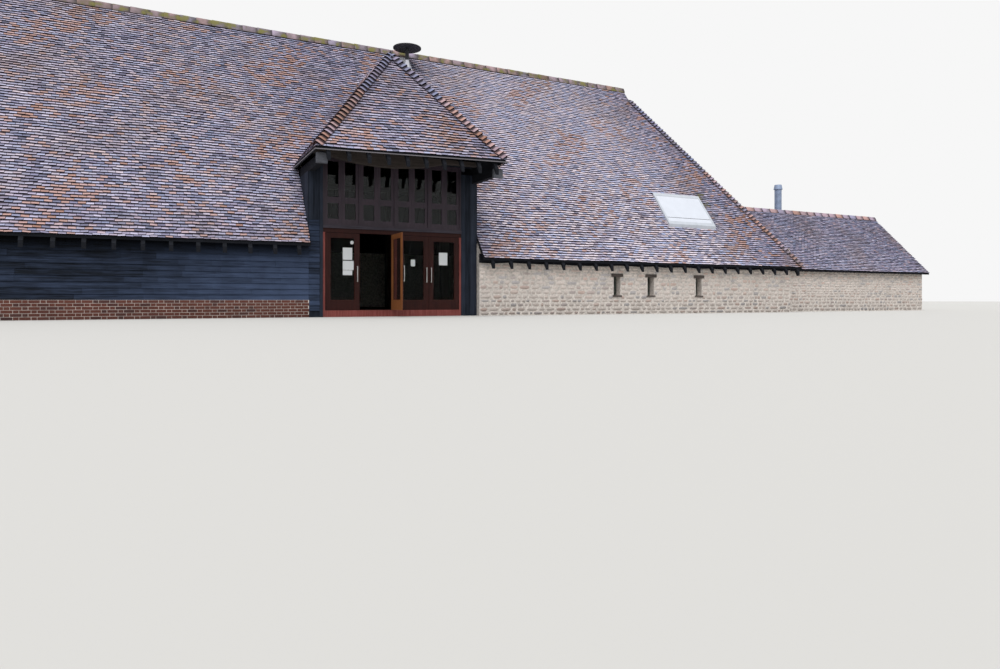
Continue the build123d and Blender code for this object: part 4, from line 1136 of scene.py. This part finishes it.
def stones(face, top, holes, rng):
    """Points, quads and tones of coursed rubble. Each stone is a 5 by 4 grid that swells towards its middle by
    (1 - a^4)(1 - b^4), with its rim a little inside the wall's face; top gives the wall's height at u."""
    walls = settings("walls")
    tallest = float(np.max(top(np.linspace(0, face.length, 50))))
    starts, ends, lows, highs = [], [], [], []
    z = 0.01
    while z < tallest - LEAST_RISE:
        rise = walls.stone_course * rng.uniform(*STONE_RISES)
        z1 = min(z + rise, tallest)
        for a, b in free_spans(face.length, z, z1, holes):
            count = max(1, round((b - a) / (walls.stone_length * rng.uniform(*STONE_LENGTHS))))
            weights = rng.uniform(*STONE_WEIGHTS, count)
            cuts = a + np.concatenate(((0.0,), np.cumsum(weights) / weights.sum())) * (b - a)
            starts.append(cuts[:-1])
            ends.append(cuts[1:])
            lows.append(np.full(count, z))
            highs.append(np.full(count, z1))
        z = z1
    starts, ends, lows, highs = (np.concatenate(group)[:, None, None] for group in (starts, ends, lows, highs))
    count = len(starts)
    a, b = np.meshgrid(np.linspace(-1, 1, 5), np.linspace(-1, 1, 4))
    joint = walls.stone_joint / 2
    half = (ends - starts) / 2 - joint
    rise = (highs - lows) / 2 - joint
    # Rounded plan of the stone, so that its corners pull in
    pull_a = 1 - STONE_PULL * np.abs(b) ** 3
    pull_b = 1 - STONE_PULL * np.abs(a) ** 3
    u = (starts + ends) / 2 + half * a * pull_a + rng.normal(0, STONE_SCATTER, (count, *a.shape))
    zed = (lows + highs) / 2 + rise * b * pull_b + rng.normal(0, STONE_SCATTER, (count, *a.shape))
    zed = np.minimum(zed, top(u))
    swell = (1 - a ** 4) * (1 - b ** 4)
    out = STONE_RIM + swell * rng.uniform(*STONE_SWELL, (count, 1, 1))
    out = out + rng.normal(0, STONE_ROUGH, (count, *a.shape))
    keep = (top(u).min(axis=(1, 2)) - lows[:, 0, 0]) > LEAST_RISE
    points = face.at(u, zed, out)[keep].reshape(-1, 3)
    count = int(keep.sum())
    quads = (np.arange(count)[:, None, None] * a.size + grid_quads(5, 4)).reshape(-1, 4)
    return points, quads, np.repeat(rng.random(count), a.size)


def stone_wall(name, face, top, holes, seed, shelter=(1.48, 1.6)):
    """A wall's face of rubble, with painted shade of the eaves between two heights."""
    walls = settings("walls")
    finish = material("sheltered_rubble" if shelter else "open_rubble", masonry, [
        (0.0, walls.rust), (1.0, walls.grey), (0.12, walls.cream), (0.62, walls.cream), (0.75, walls.rust),
        (0.85, walls.grey)], shelter=shelter)
    points, quads, tones = stones(face, top, holes, np.random.default_rng(seed))
    return piece(name, points, quads, finish, "rubble_stone", crease=radians(60), tone=tones)


# How far the faces of lapped boards stand out, and courses of them beside the doors: over the plinth's top and under it
BOARDS_OUT, COURSES_OVER, COURSES_UNDER = 0.03, 15, 2
# Corner board beside the doors: its width, how far it stands out and how far it stops short of the posts
CORNER_WIDTH, CORNER_OUT, CORNER_GAP = 0.09, 0.012, 0.004
# Level of the upright boards' feet
UPRIGHT_FOOT = 0.02


class BARN_OT_board_walls(bpy.types.Operator):
    """Laps tarred boards over the boarded half and stands boards beside the doors"""
    bl_idname = "barn.board_walls"
    bl_label = "Weatherboards"

    def execute(self, context):
        exposure = settings("walls").exposure
        front, end, rear = map(box, ("front_wall_boarded", "left_end_wall", "rear_wall_boarded"))
        bottom = front[0][2]
        rng = np.random.default_rng(51)
        main = MainRoof()
        top = main.level(-BOARDS_OUT) - BOARDS_DROP
        faces = {
            "front_boards": (Face(FRONT, *front), top),
            "rear_boards": (Face(REAR, *rear), top),
            "end_boards": (Face(LEFT, (end[0][0], front[0][1]), rear[1]), end[1][2] - SIDE_BOARDS_DROP),
        }
        for name, (face, high) in faces.items():
            corners, tones = weatherboards(face, bottom, high, rng)
            if name == "front_boards":
                # Painted light and shade: the boards are paler towards the doors and darker towards the far end
                across = (corners[..., 0].mean(axis=1) - front[0][0]) / face.length
                tones = 0.5 * tones + np.clip(3.5 * (across - 0.72), -0.25, 1)
            # The long sides' boards take painted shade under the eaves
            finish = tar_material("Y") if name == "end_boards" else tar_material("X", shelter=(1.5, 1.82))
            blocks(name, corners, finish, "black_boards", tones)
        cheeks, left, right = map(box, ("porch_cheeks", "porch_wall_left", "porch_wall_right"))
        # Horizontal boards run on to a corner board beside the doors, and upright ones start over them
        turn = bottom + COURSES_OVER * exposure
        corner = left[1][0] - CORNER_WIDTH
        beside = Face(FRONT, left[0], (corner, left[0][1]))
        corners, tones = weatherboards(beside, bottom - COURSES_UNDER * exposure, turn, rng)
        blocks("porch_boards_lapped", corners, tar_material("X"), "black_boards", tones)
        plates = box("porch_plates")[0][2]
        back = main.y_at(plates)
        foot, side = level_at(UPRIGHT_FOOT), (cheeks[0], (cheeks[1][0], back))
        corners, tones = joined([upright_boards(face, low, high, rng) for face, low, high in (
            (beside, level_at(turn), level_at(left[1][2])),
            (Face(FRONT, (corner, left[0][1] - CORNER_OUT), (left[1][0] - CORNER_GAP, left[1][1])), foot,
             level_at(left[1][2])),
            (Face(FRONT, *right), foot, level_at(right[1][2])),
            (Face(LEFT, *side), lambda u: main.level(back - u) - SIDE_BOARDS_DROP, level_at(plates)),
            (Face(RIGHT, *side), lambda u: main.level(cheeks[0][1] + u) - SIDE_BOARDS_DROP, level_at(plates)))])
        blocks("porch_boards_upright", corners, tar_material("Z"), "black_boards", tones)
        dress(tar_material("X"), "front_wall_boarded", "rear_wall_boarded")
        dress(tar_material("Y"), "left_end_wall")
        dress(tar_material("Z"), "porch_wall_left", "porch_wall_right", "porch_cheeks", "gablets")
        return {"FINISHED"}


class BARN_OT_lay_bricks(bpy.types.Operator):
    """Lays the bricks of the plinth"""
    bl_idname = "barn.lay_bricks"
    bl_label = "Brick plinth"

    def execute(self, context):
        walls = settings("walls")
        low, high = box("brick_plinth")
        rng = np.random.default_rng(61)
        cheek = box("porch_wall_left")[0][0]
        rear_end = box("rear_wall_boarded")[1][0]
        corners, tones = joined([bricks(face, high[2], rng) for face in (
            Face(FRONT, low, (cheek, high[1])), Face(REAR, low, (rear_end, high[1])), Face(LEFT, low, high))])
        finish = material("soft_red_brick", masonry,
                          [(0.0, walls.brick_dark), (1.0, walls.brick), (0.3, walls.brick)])
        blocks("plinth_bricks", corners, finish, "red_brick", tones)
        dress(material("brick_mortar", plain_finish, walls.mortar, 0.95, mottle=0.4), "brick_plinth")
        return {"FINISHED"}


class BARN_OT_lay_stones(bpy.types.Operator):
    """Lays coursed rubble on the stone half and the wing"""
    bl_idname = "barn.lay_stones"
    bl_label = "Rubble walls"

    def execute(self, context):
        front, rear, end, wing = map(box, ("front_wall_stone", "rear_wall_stone", "right_end_wall", "wing_walls"))
        top = level_at(MainRoof().level(front[0][1]) - STONES_DROP)
        half = SLIT_WIDTH / 2
        holes = [(x - half - front[0][0] - side, x + half - front[0][0] + side, low, high)
                 for side, low, high in ((0.01, SLIT_SILL - SILL_DEPTH, SLIT_HEAD),
                                         (LINTEL_SIDE, SLIT_HEAD - LINTEL_FOOT, SLIT_HEAD + LINTEL_TOP))
                 for x in SLITS]
        stone_wall("front_stones", Face(FRONT, *front), top, holes, 71)
        stone_wall("rear_stones", Face(REAR, *rear), top, [], 72)
        # The wing hides the middle of the end wall to its whole height
        shut = [(wing[0][1] - front[0][1], wing[1][1] - front[0][1], 0, 9)]
        stone_wall("end_stones", Face(RIGHT, front[0], (end[1][0], rear[1][1])),
                   level_at(end[1][2] - END_STONES_DROP), shut, 73, shelter=None)
        half = (wing[1][1] - wing[0][1]) / 2
        eave = wing[1][2] - half - WING_DROP
        side = (end[1][0], wing[0][1]), wing[1]
        stone_wall("wing_front_stones", Face(FRONT, *side), level_at(eave), [], 74)
        stone_wall("wing_rear_stones", Face(REAR, *side), level_at(eave), [], 75)
        stone_wall("wing_gable_stones", Face(RIGHT, *side), lambda u: eave + half - np.abs(u - half), [], 76,
                   shelter=None)
        dress(material("lime_mortar", plain_finish, settings("walls").mortar, 0.95, mottle=0.4, scale=14.0,
                       depth=0.004),
              "front_wall_stone", "rear_wall_stone", "right_end_wall", "wing_walls")
        return {"FINISHED"}


# Wall plate on the stone wall's head: its stations, level and unevenness of its foot, how far it stands out at its foot
# and at its top, and how far it reaches in and stops short of the wall's end
PLATE_STATIONS, PLATE_FOOT, PLATE_SAG, PLATE_OUT, PLATE_IN = 27, 1.53, (-0.03, 0.02), (0.04, 0.03), 0.02


class BARN_OT_finish_timber(bpy.types.Operator):
    """Gives the oak frame, rafters and eaves their finish, and adds the pale boards at the entrance's eaves"""
    bl_idname = "barn.finish_timber"
    bl_label = "Oak frame"

    def execute(self, context):
        timber = settings("timber")
        main = MainRoof()
        dress(oak_material("Z"), "arcade_posts")
        dress(oak_material("X"), "arcade_plates", "purlins")
        dress(oak_material("Y"), "tie_beams", "tie_braces", "collars")
        # Painted shade: the rafters and plates are drawn near black
        dress(shade_black_oak_material("Y"), "porch_plates", "front_rafters", "rear_rafters")
        dress(shade_black_oak_material("X"), "end_rafters")
        # Naturally curved beam over the windows: its foot follows low + 0.06 + 0.11 ((x + 0.3) / 1.2)^2
        low, high = box("porch_beam")
        x = np.linspace(low[0], high[0], 25)
        foot = np.minimum(low[2] + 0.06 + 0.11 * ((x + 0.3) / 1.2) ** 2, high[2] - 0.1)
        deep = high[1] - low[1]
        beam = run_blocks(Face(FRONT, (0, high[1]), high), x, foot, high[2], deep, deep)
        blocks("curved_beam", beam, oak_material("X"), "old_oak", np.zeros(len(beam)), replaced=["porch_beam"])
        # Wall plate along the head of the stone wall, in lengths that sag unevenly; its near-black oak and its depth
        # paint the band of shade under the eaves
        low, high = box("front_wall_stone")
        cuts = np.linspace(low[0], high[0] - PLATE_IN, PLATE_STATIONS)
        rng = np.random.default_rng(81)
        foot = PLATE_FOOT + rng.uniform(*PLATE_SAG, len(cuts))
        plate = run_blocks(Face(FRONT, (0, low[1]), high), cuts, foot, main.level(low[1]) - STONES_DROP, *PLATE_OUT,
                           inner=-PLATE_IN)
        blocks("wall_plate", plate, shade_black_oak_material("X"), "old_oak", rng.random(len(plate)))
        # Pale boards under the tiles of the entrance: in front, and along both sides to the valleys
        low, high = box("porch_roof")
        deep, thick, inset = 0.025, 0.02, 0.004
        top = low[2] + (COVERING_DROP - 0.062)
        back = main.y_at(top)
        lows = [(low[0], low[1] + inset, top - deep), (low[0] + inset, low[1] + thick, top - deep),
                (high[0] - thick, low[1] + thick, top - deep)]
        highs = [(high[0], low[1] + thick, top), (low[0] + thick, back, top), (high[0] - inset, back, top)]
        fascia = material("weathered_softwood", board, timber.fascia, timber.fascia, "X", roughness=0.85)
        boards = PorchRoof(main).twisted(box_corners(lows, highs))
        blocks("eave_boards", boards, fascia, "old_oak", np.array((0.2, 0.6, 0.9)))
        # A weathered block covers each plate's end and stands out past its outer side
        low, high = box("porch_plates")
        wide, past = 0.27, 0.11
        ends = [(x, low[1] - 0.03, low[2] - 0.05) for x in (low[0] - past, high[0] + past - wide)]
        tips = [(end[0] + wide, low[1] + 0.06, high[2] - 0.04) for end in ends]
        grain = material("silvered_end_grain", board, timber.silver, timber.silver_worn, "X", roughness=0.9,
                         scale=20.0, stretch=3.0)
        blocks("plate_ends", box_corners(ends, tips), grain, "old_oak", np.array((0.3, 0.7)))
        return {"FINISHED"}


def pane_beads(low, high, axis, bead, proud):
    """Corners of four beads round an upright pane, on both of its faces. Axis is the one that the pane faces."""
    across = 1 - axis
    corners = []
    for side in (-1, 1):
        face = (low if side < 0 else high)[axis]
        ends = sorted((face, face + side * proud))
        for u0, u1, z0, z1 in ((low[across], high[across], low[2], low[2] + bead),
                               (low[across], high[across], high[2] - bead, high[2]),
                               (low[across], low[across] + bead, low[2] + bead, high[2] - bead),
                               (high[across] - bead, high[across], low[2] + bead, high[2] - bead)):
            first, last = np.zeros(3), np.zeros(3)
            first[[axis, across, 2]] = ends[0], u0, z0
            last[[axis, across, 2]] = ends[1], u1, z1
            corners.append(box_corners(first, last))
    return np.concatenate(corners)


# Blank sheets on the outer face of the glass of the closed leaves: leaf, left, right, bottom and top in metres
SHEETS = ((1, -1.441, -1.186, 1.524, 1.847), (1, -1.441, -1.148, 1.253, 1.497),
          (1, -1.441, -1.186, 1.114, 1.243), (3, 0.463, 0.587, 1.392, 1.573), (4, 1.3, 1.558, 1.437, 1.793))
# Blank disc over them on leaf 1: centre and radius
DISC_X, DISC_Z, DISC_RADIUS = -1.193, 1.987, 0.048
# How far the faces of the sheets and of the disc stand off the glass
SHEET_FACE, DISC_FACE, SHEET_BACK = 0.0012, 0.0014, 0.0002


class BARN_OT_finish_doors(bpy.types.Operator):
    """Finishes the door frame and the glazed leaves, with beads round the glass and blank sheets on it"""
    bl_idname = "barn.finish_doors"
    bl_label = "Doors"

    def execute(self, context):
        timber = settings("timber")
        stain = partial(board, along="Z", roughness=0.45, depth=0.001, gloss=0.15)
        # The frame takes the lit copy of the stain
        frame_stain = material("stained_frame", stain, timber.frame_stain_lit, timber.frame_stain_lit_worn,
                               inside=("Y", "GREATER_THAN", 0.06, timber.varnish))
        dress(frame_stain, "door_posts", "door_sill")
        # The head takes the painted-shade copy of the stain
        dress(material("stained_head", stain, timber.leaf_stain_shaded, timber.leaf_stain_shaded_worn), "door_head")
        glass = material("toughened_glass", window_glass, 1.11)
        steel = material("brushed_steel", plain_finish, timber.steel, 0.3, metallic=1.0)
        paper = material("blank_paper", plain_finish, timber.paper, 0.8, mottle=0.08, scale=2.0)
        for i in range(1, 5):
            leaf, pane = box(f"door_leaf_{i}"), box(f"door_glass_{i}")
            # The open leaf's pane faces along X, and the varnish starts behind the stained outer face
            axis = 0 if np.ptp(leaf[:, 0]) < np.ptp(leaf[:, 1]) else 1
            middle = leaf[:, axis].mean()
            side = ("X", "LESS_THAN", pane[0][0] - 0.004) if axis == 0 else ("Y", "GREATER_THAN", middle + 0.015)
            # Each leaf takes the painted-shade copy of the stain
            finish = material(f"stained_leaf_{i}", stain, timber.leaf_stain_shaded, timber.leaf_stain_shaded_worn,
                              inside=(*side, timber.varnish))
            dress(finish, f"door_leaf_{i}")
            dress(glass, f"door_glass_{i}")
            dress(steel, f"door_handle_{i}")
            beads = pane_beads(*pane, axis, timber.bead, 0.009)
            blocks(f"door_beads_{i}", beads, finish, "door_paint", np.full(len(beads), 0.7), body=f"leaf_{i}")
            sheets = [sheet[1:] for sheet in SHEETS if sheet[0] == i]
            if sheets:
                face = pane[0][1]
                corners = box_corners([(x0, face - SHEET_FACE, z0) for x0, x1, z0, z1 in sheets],
                                      [(x1, face - SHEET_BACK, z1) for x0, x1, z0, z1 in sheets])
                blocks(f"blank_sheets_{i}", corners, paper, "white_paint", body=f"leaf_{i}")
        # The disc's rings run from the centre of its face over the rim to the centre of its back
        turn, radius = np.meshgrid(np.linspace(0, 2 * np.pi, 33)[:-1], np.array((0, 1, 1, 0)) * DISC_RADIUS)
        depth = np.repeat(box("door_glass_1")[0][1] - np.array((DISC_FACE, SHEET_BACK)), 2)
        points = np.stack((DISC_X + radius * np.cos(turn), np.broadcast_to(depth[:, None], turn.shape),
                           DISC_Z + radius * np.sin(turn)), axis=-1)
        piece("blank_disc", points.reshape(-1, 3), tube_quads(32, 4), paper, "white_paint", body="leaf_1")
        return {"FINISHED"}


class BARN_OT_finish_windows(bpy.types.Operator):
    """Finishes the windows over the doors and all panes, with lintels and sills at the slits"""
    bl_idname = "barn.finish_windows"
    bl_label = "Windows"

    def execute(self, context):
        timber = settings("timber")
        stain = material("purple_brown_stain", board, timber.window, timber.window_worn, "Z", roughness=0.45,
                         depth=0.001, gloss=0.3)
        dress(stain, "window_frame", "window_casements")
        dress(material("weathered_drip", board, timber.drip, timber.drip_worn, "X", roughness=0.8), "drip_board")
        dress(material("drawn_sheet_glass", window_glass, 1.27), "window_glass")
        wall = box("front_wall_stone")[0][1]
        half = SLIT_WIDTH / 2
        lows = [(x - half - LINTEL_SIDE, wall - LINTEL_OUT, SLIT_HEAD - LINTEL_FOOT) for x in SLITS]
        lows += [(x - half - SILL_SIDE, wall - SILL_OUT, SLIT_SILL - SILL_DEPTH) for x in SLITS]
        highs = [(x + half + LINTEL_SIDE, wall + LINTEL_IN, SLIT_HEAD + LINTEL_TOP) for x in SLITS]
        highs += [(x + half + SILL_SIDE, wall + SILL_IN, SLIT_SILL) for x in SLITS]
        blocks("slit_lintels_and_sills", box_corners(lows, highs), oak_material("X"), "old_oak",
               np.linspace(0, 1, len(lows)))
        return {"FINISHED"}


# Rooflight: the border beside the white sheets that paint the sky's reflection and over and under them,
# depth of the lower sheet, the gap between the two, how far their faces stand over the tiles and how thick they are
BORDER_SIDE, BORDER_END, LOWER_SHEET_DEPTH, REFLECTION_GAP, LOWER_SHEET_LIFT, REFLECTION_LIFT, REFLECTION_THICK = (
    0.084, 0.086, 0.2, 0.012, 0.05, 0.055, 0.008)
# Lead apron: its place along the barn and back from the front, and its thickness, square to the slope
APRON_X, APRON_Y, APRON_THICK = (1.73, 2.09), (4.4, 4.93), (0, -0.0024, 0.0034)
# Lead sleeve: its radius at the head, how much wider its foot is, the radius inside the pipe and its height
SLEEVE_RADIUS, SLEEVE_FLARE, SLEEVE_INNER, SLEEVE_HEIGHT = 0.062, 0.07, 0.04, 0.36


class BARN_OT_finish_metal(bpy.types.Operator):
    """Finishes the rooflight with white sheets of painted reflection, the vent, its lead apron, the flue and the floor
    """
    bl_idname = "barn.finish_metal"
    bl_label = "Metalwork"

    def execute(self, context):
        timber = settings("timber")
        dress(material("white_gloss_paint", plain_finish, timber.white, 0.4, mottle=0.12), "rooflight_frame")
        dress(material("black_painted_steel", plain_finish, timber.iron, 0.6), "vent_cowl")
        dress(material("weathered_zinc", plain_finish, timber.zinc, 0.55, metallic=0.4), "wing_flue")
        dress(material("worn_concrete", plain_finish, timber.floor, 0.8, mottle=0.35), "floor_slab")
        main = MainRoof()
        # Painted reflection: a white sheet over the rooflight's pane and a white one under it, both inside the border,
        # stand in for the sky reflected in the glass
        low, high = box("rooflight_frame")
        left, right, split = low[0] + BORDER_SIDE, high[0] - BORDER_SIDE, low[1] + LOWER_SHEET_DEPTH
        sheets = []
        for near, far, lift in ((low[1] + BORDER_END, split - REFLECTION_GAP, LOWER_SHEET_LIFT),
                                (split, high[1] - BORDER_END, REFLECTION_LIFT)):
            ring = np.array([(x, y, main.level(y) + lift)
                             for x, y in ((left, near), (right, near), (right, far), (left, far))])
            sheets.append(np.concatenate((ring - (0, 0, REFLECTION_THICK), ring)))
        blind = material("white_blind", plain_finish, timber.blind, 0.9, mottle=0.05, scale=3.0)
        blocks("rooflight_reflection_sheets", np.array(sheets), blind, "white_paint")
        # Lead apron dressed over the tiles from the vent's pipe up to the ridge, with waves along and up it
        columns, rows = 12, 16
        x, y = np.meshgrid(np.linspace(*APRON_X, columns), np.linspace(*APRON_Y, rows))
        drape = 0.02 + 0.006 * np.sin(y * 42) + 0.004 * np.sin(x * 9)
        outer = np.stack((x, y, main.level(y) + drape), axis=-1).reshape(-1, 3)
        inner = outer - APRON_THICK
        count = rows * columns
        top_faces = grid_quads(columns, rows)
        rim = np.concatenate((np.arange(columns), np.arange(1, rows) * columns + columns - 1,
                              (rows - 1) * columns + np.arange(columns - 2, -1, -1),
                              np.arange(rows - 2, 0, -1) * columns))
        following = np.roll(rim, -1)
        rim_faces = np.stack((following, rim, rim + count, following + count), axis=1)
        quads = np.concatenate((top_faces, top_faces[:, ::-1] + count, rim_faces))
        # Painted light: the lead's near-white colour keeps it pale in the vent's shade
        lead = material("milled_lead", plain_finish, timber.lead, 0.6, mottle=0.2)
        piece("lead_apron", np.concatenate((outer, inner)), quads, lead, "lead", replaced=["vent_slate"],
              crease=radians(40))
        # Lead sleeve round the pipe's foot: radius + flare (1 - s)^2, where s goes from the tiles up to its head,
        # where one more ring turns in to the pipe
        middle = box("vent_cowl").mean(axis=0)
        turn, s = np.meshgrid(np.linspace(0, 2 * np.pi, 25)[:-1], (*np.linspace(0, 1, 9), 1.0))
        radius = SLEEVE_RADIUS + SLEEVE_FLARE * (1 - s) ** 2
        radius[-1] = SLEEVE_INNER
        x, y = middle[0] + radius * np.cos(turn), middle[1] + radius * np.sin(turn)
        z = (1 - s) * (main.level(y) + 0.01) + s * (main.level(middle[1]) + SLEEVE_HEIGHT)
        piece("lead_sleeve", np.stack((x, y, z), axis=-1).reshape(-1, 3), tube_quads(24, 10), lead, "lead",
              crease=radians(60))
        return {"FINISHED"}


def seen_directly(tree):
    """One for rays from the camera, a mirror or a pane, and nought for the light that falls on the barn."""
    path = add(tree, "LightPath")
    seen = path.outputs["Is Camera Ray"]
    for ray in ("Is Glossy Ray", "Is Transmission Ray"):
        seen = add(tree, "Math", {0: seen, 1: path.outputs[ray]}, operation="MAXIMUM")
    return seen


class BARN_OT_set_stage(bpy.types.Operator):
    """Sets the plain floor, the soft light and the camera"""
    bl_idname = "barn.set_stage"
    bl_label = "Stage"

    def execute(self, context):
        stage = settings("stage")
        scene = context.scene
        half = stage.floor_half
        mesh = bpy.data.meshes.new("stage_floor")
        mesh.from_pydata([(-half, -half, 0), (half, -half, 0), (half, half, 0), (-half, half, 0)], [],
                         [(0, 1, 2, 3)])
        floor = bpy.data.objects.new("stage_floor", mesh)
        scene.collection.objects.link(floor)
        pale, tree, shader, _ = new_material("pale_studio_floor", 0.95)
        ground = add(tree, "Mix", {0: seen_directly(tree), 6: stage.ground_bounce, 7: stage.ground}, **BLEND)
        feed(tree, shader, {"Base Color": ground})
        mesh.materials.append(pale)

        world = bpy.data.worlds.new("pale_studio")
        world.use_nodes = True
        tree = world.node_tree
        tree.nodes.clear()
        light = add(tree, "Background", {"Color": grey(1.0), "Strength": stage.sky})
        backdrop = add(tree, "Background", {"Color": grey(0.93), "Strength": 1.0})
        both = add(tree, "MixShader", {0: seen_directly(tree), 1: light, 2: backdrop})
        add(tree, "OutputWorld", {"Surface": both})
        scene.world = world

        lamp_data = bpy.data.lights.new("soft_lamp", "SUN")
        lamp_data.energy = stage.lamp
        lamp_data.angle = stage.lamp_spread
        lamp = bpy.data.objects.new("soft_lamp", lamp_data)
        lamp.rotation_euler = (radians(25), radians(-9), radians(-15))
        scene.collection.objects.link(lamp)

        camera_data = bpy.data.cameras.new("photo_view")
        camera_data.lens = stage.lens
        camera_data.clip_end = 1000
        camera = bpy.data.objects.new("photo_view", camera_data)
        camera.location = (stage.eye_x, stage.eye_y, stage.eye_height)
        camera_data.shift_y = -stage.frame_drop
        camera.rotation_euler = (radians(90), 0, -stage.bearing)
        scene.collection.objects.link(camera)
        scene.camera = camera
        scene.view_settings.view_transform = "Standard"
        return {"FINISHED"}


OPERATORS = (
    BARN_OT_lay_main_tiles, BARN_OT_lay_porch_tiles, BARN_OT_lay_wing_tiles, BARN_OT_cap_hips,
    BARN_OT_cap_ridges, BARN_OT_board_walls, BARN_OT_lay_bricks, BARN_OT_lay_stones, BARN_OT_finish_timber,
    BARN_OT_finish_doors, BARN_OT_finish_windows, BARN_OT_finish_metal, BARN_OT_set_stage,
)


class BARN_PT_pieces(bpy.types.Panel):
    """Lists the barn's pieces in the order in which they are made"""
    bl_idname = "BARN_PT_pieces"
    bl_label = "Barn"
    bl_space_type = "VIEW_3D"
    bl_region_type = "UI"
    bl_category = "Barn"

    def draw(self, context):
        for operator in OPERATORS:
            self.layout.operator(operator.bl_idname)


GROUPS = {"barn_roof": RoofSettings, "barn_walls": WallSettings, "barn_timber": TimberSettings,
          "barn_stage": StageSettings}
CLASSES = (*GROUPS.values(), *OPERATORS, BARN_PT_pieces)


def register():
    """Registers the settings, operators and panel, and puts the settings on the scene."""
    for made in CLASSES:
        bpy.utils.register_class(made)
    for name, group in GROUPS.items():
        setattr(bpy.types.Scene, name, PointerProperty(type=group))


def unregister():
    """Takes back all that register has set up."""
    for name in GROUPS:
        delattr(bpy.types.Scene, name)
    for made in reversed(CLASSES):
        bpy.utils.unregister_class(made)


def main():
    """Makes every piece in order."""
    register()
    for operator in OPERATORS:
        family, call = operator.bl_idname.split(".")
        getattr(getattr(bpy.ops, family), call)()
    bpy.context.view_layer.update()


if __name__ == "__main__":
    main()
